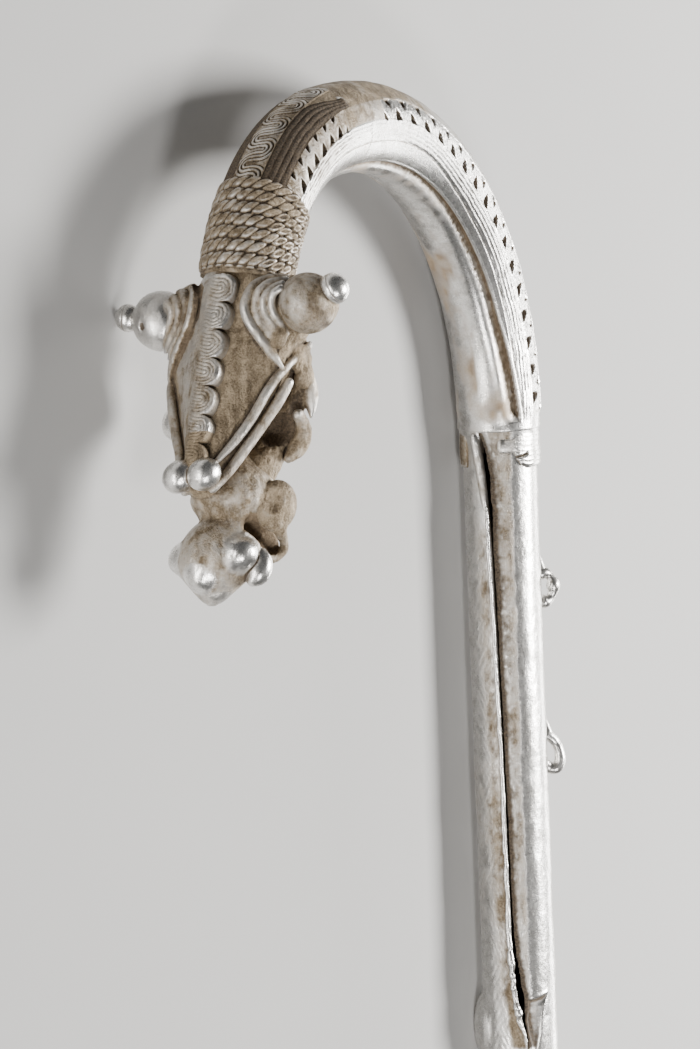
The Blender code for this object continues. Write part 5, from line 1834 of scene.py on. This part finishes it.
def cast_metal():
    """Worn silvery alloy under a tan patina, with earth and painted shade in its hollows and painted
    highlights where it shows bright.
    """
    material = bpy.data.materials.new("cast_silvery_bronze")
    material.use_nodes = True
    tree = material.node_tree
    tree.nodes.clear()
    coordinates = tree.nodes.new("ShaderNodeTexCoord").outputs["Object"]
    # The hollow mask carries dirt and painted shade, and the worn mask polish and painted highlights.
    hollow, worn, earth = mask_sockets(tree)
    broad, patch, streak, speck, grain = (texture(tree, coordinates, *values) for values in METAL_NOISE)

    # Where the metal shows bright, and where earth and painted shade cover it.
    mottle = weigh(tree, patch, 0.55, calculate(tree, "MULTIPLY", broad, 0.45))
    shine = weigh(tree, streak, 0.28, weigh(tree, mottle, 1.3, worn))
    shine = ramp(tree, shine, SHINE_START, SHINE_START + 0.50)
    dust_and_shade = weigh(tree, hollow, 1.15, weigh(tree, mottle, -0.8, DUST_START))
    dust_and_shade = ramp(tree, weigh(tree, speck, 0.35, dust_and_shade), 0.20, 0.85)
    base = metal_colour(tree, patch, streak, speck, shine, dust_and_shade, earth)

    # Bright metal is smooth, and earth is matte.
    clean = calculate(tree, "SUBTRACT", 1.0, calculate(tree, "MAXIMUM", dust_and_shade, earth), clamp=True)
    metallic = calculate(tree, "MULTIPLY", clean, weigh(tree, shine, 0.58, 0.38), clamp=True)
    rough = weigh(tree, shine, -0.31, weigh(tree, speck, 0.20, 0.50))
    rough = weigh(tree, calculate(tree, "SUBTRACT", 1.0, clean), 0.32, rough, clamp=True)
    bump_height = weigh(tree, grain, 0.35, weigh(tree, speck, 0.6, patch))
    bump_height = weigh(tree, streak, 0.8, bump_height)
    surface_shader(tree, base, metallic, rough, weigh(tree, shine, -0.80, 0.95), bump_height)
    return material


def floor_material():
    """Pale matte paper."""
    material = bpy.data.materials.new("pale_floor")
    material.use_nodes = True
    tree = material.node_tree
    shader = tree.nodes["Principled BSDF"]
    coordinates = tree.nodes.new("ShaderNodeTexCoord").outputs["Object"]
    cloud = texture(tree, coordinates, 9.0, 4.0)
    tone = blend_colours(tree, cloud, (0.42, 0.415, 0.407), (0.45, 0.445, 0.436))
    tree.links.new(tone, shader.inputs["Base Color"])
    shader.inputs["Roughness"].default_value = 0.9
    shader.inputs["Specular IOR Level"].default_value = 0.2
    return material


# The floor, the lights and the camera

FLOOR_HALF = 6.0
CROOK_SPOT = (-0.25, 0.03, 0.03)
SHAFT_SPOT = (-0.10, 0.0, 0.04)
# Name, place, the spot it looks at, width and height, watts and colour.
LIGHTS = (
    ("key_softbox", (-0.30, 0.76, 0.99), CROOK_SPOT, (0.50, 0.40), 46.0, (1.0, 0.99, 0.97)),
    ("front_softbox", (0.90, -1.10, 1.50), CROOK_SPOT, (0.40, 0.40), 31.0, (1.0, 0.99, 0.98)),
    ("fill_softbox", (-0.20, -1.55, 0.30), CROOK_SPOT, (0.5, 0.3), 4.0, (1.0, 0.98, 0.95)),
    ("low_softbox", (-0.10, -1.15, 0.11), SHAFT_SPOT, (1.1, 0.18), 11.0, (1.0, 0.98, 0.95)),
    ("back_softbox", (-0.10, 1.10, 0.24), SHAFT_SPOT, (1.0, 0.25), 15.0, (1.0, 0.99, 0.97)),
)
ROOM_COLOUR = (0.95, 0.97, 1.0, 1.0)
ROOM_STRENGTH = 0.07
# The photo camera: its right, its up, the way back from the staff, and its place.
CAMERA_RIGHT = (0.0397, 0.59822, 0.80035)
CAMERA_UP = (-0.98859, 0.14002, -0.05562)
CAMERA_BACK = (-0.14534, -0.789, 0.59695)
CAMERA_PLACE = (-0.59252, -1.58694, 1.22585)
CAMERA_LENS = 136.6
FILM_HEIGHT = 24.0


def add_object(name, data):
    """A new object in the scene."""
    thing = bpy.data.objects.new(name, data)
    bpy.context.scene.collection.objects.link(thing)
    return thing


def make_floor():
    """The wide floor that the staff lies on."""
    mesh = bpy.data.meshes.new("floor")
    corners = [(x * FLOOR_HALF, y * FLOOR_HALF, 0.0) for x, y in ((-1, -1), (1, -1), (1, 1), (-1, 1))]
    mesh.from_pydata(corners, [], [(0, 1, 2, 3)])
    mesh.materials.append(floor_material())
    floor = add_object("floor", mesh)


def make_lights():
    """Soft rectangular lights, each looking at a spot, in a faintly lit room."""
    for name, place, spot, size, power, colour in LIGHTS:
        data = bpy.data.lights.new(name, "AREA")
        data.shape = "RECTANGLE"
        data.size, data.size_y = size
        data.energy = power
        data.color = colour
        light = add_object(name, data)
        light.location = place
        light.rotation_euler = (Vector(spot) - Vector(place)).to_track_quat("-Z", "Y").to_euler()
    room = bpy.data.worlds.new("studio")
    bpy.context.scene.world = room
    room.use_nodes = True
    background = room.node_tree.nodes["Background"]
    background.inputs["Color"].default_value = ROOM_COLOUR
    background.inputs["Strength"].default_value = ROOM_STRENGTH


def make_camera():
    """The camera at the photograph's angle."""
    data = bpy.data.cameras.new("photo_camera")
    data.lens = CAMERA_LENS
    data.sensor_fit = "VERTICAL"
    data.sensor_height = FILM_HEIGHT
    camera = add_object("photo_camera", data)
    pose = Matrix.Identity(4)
    for number, column in enumerate((CAMERA_RIGHT, CAMERA_UP, CAMERA_BACK, CAMERA_PLACE)):
        pose.col[number][:3] = column
    camera.matrix_world = pose
    bpy.context.scene.camera = camera


# Everything together

make_crook()
make_neck()
make_shaft()
make_thread()
make_finger()
make_loops()
make_collar()
make_head()
make_small_head()
make_eyes()
METAL = cast_metal()
for piece in PIECES:
    piece.data.materials.append(METAL)
    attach(piece, "root")
    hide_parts("staff")
make_floor()
make_lights()
make_camera()
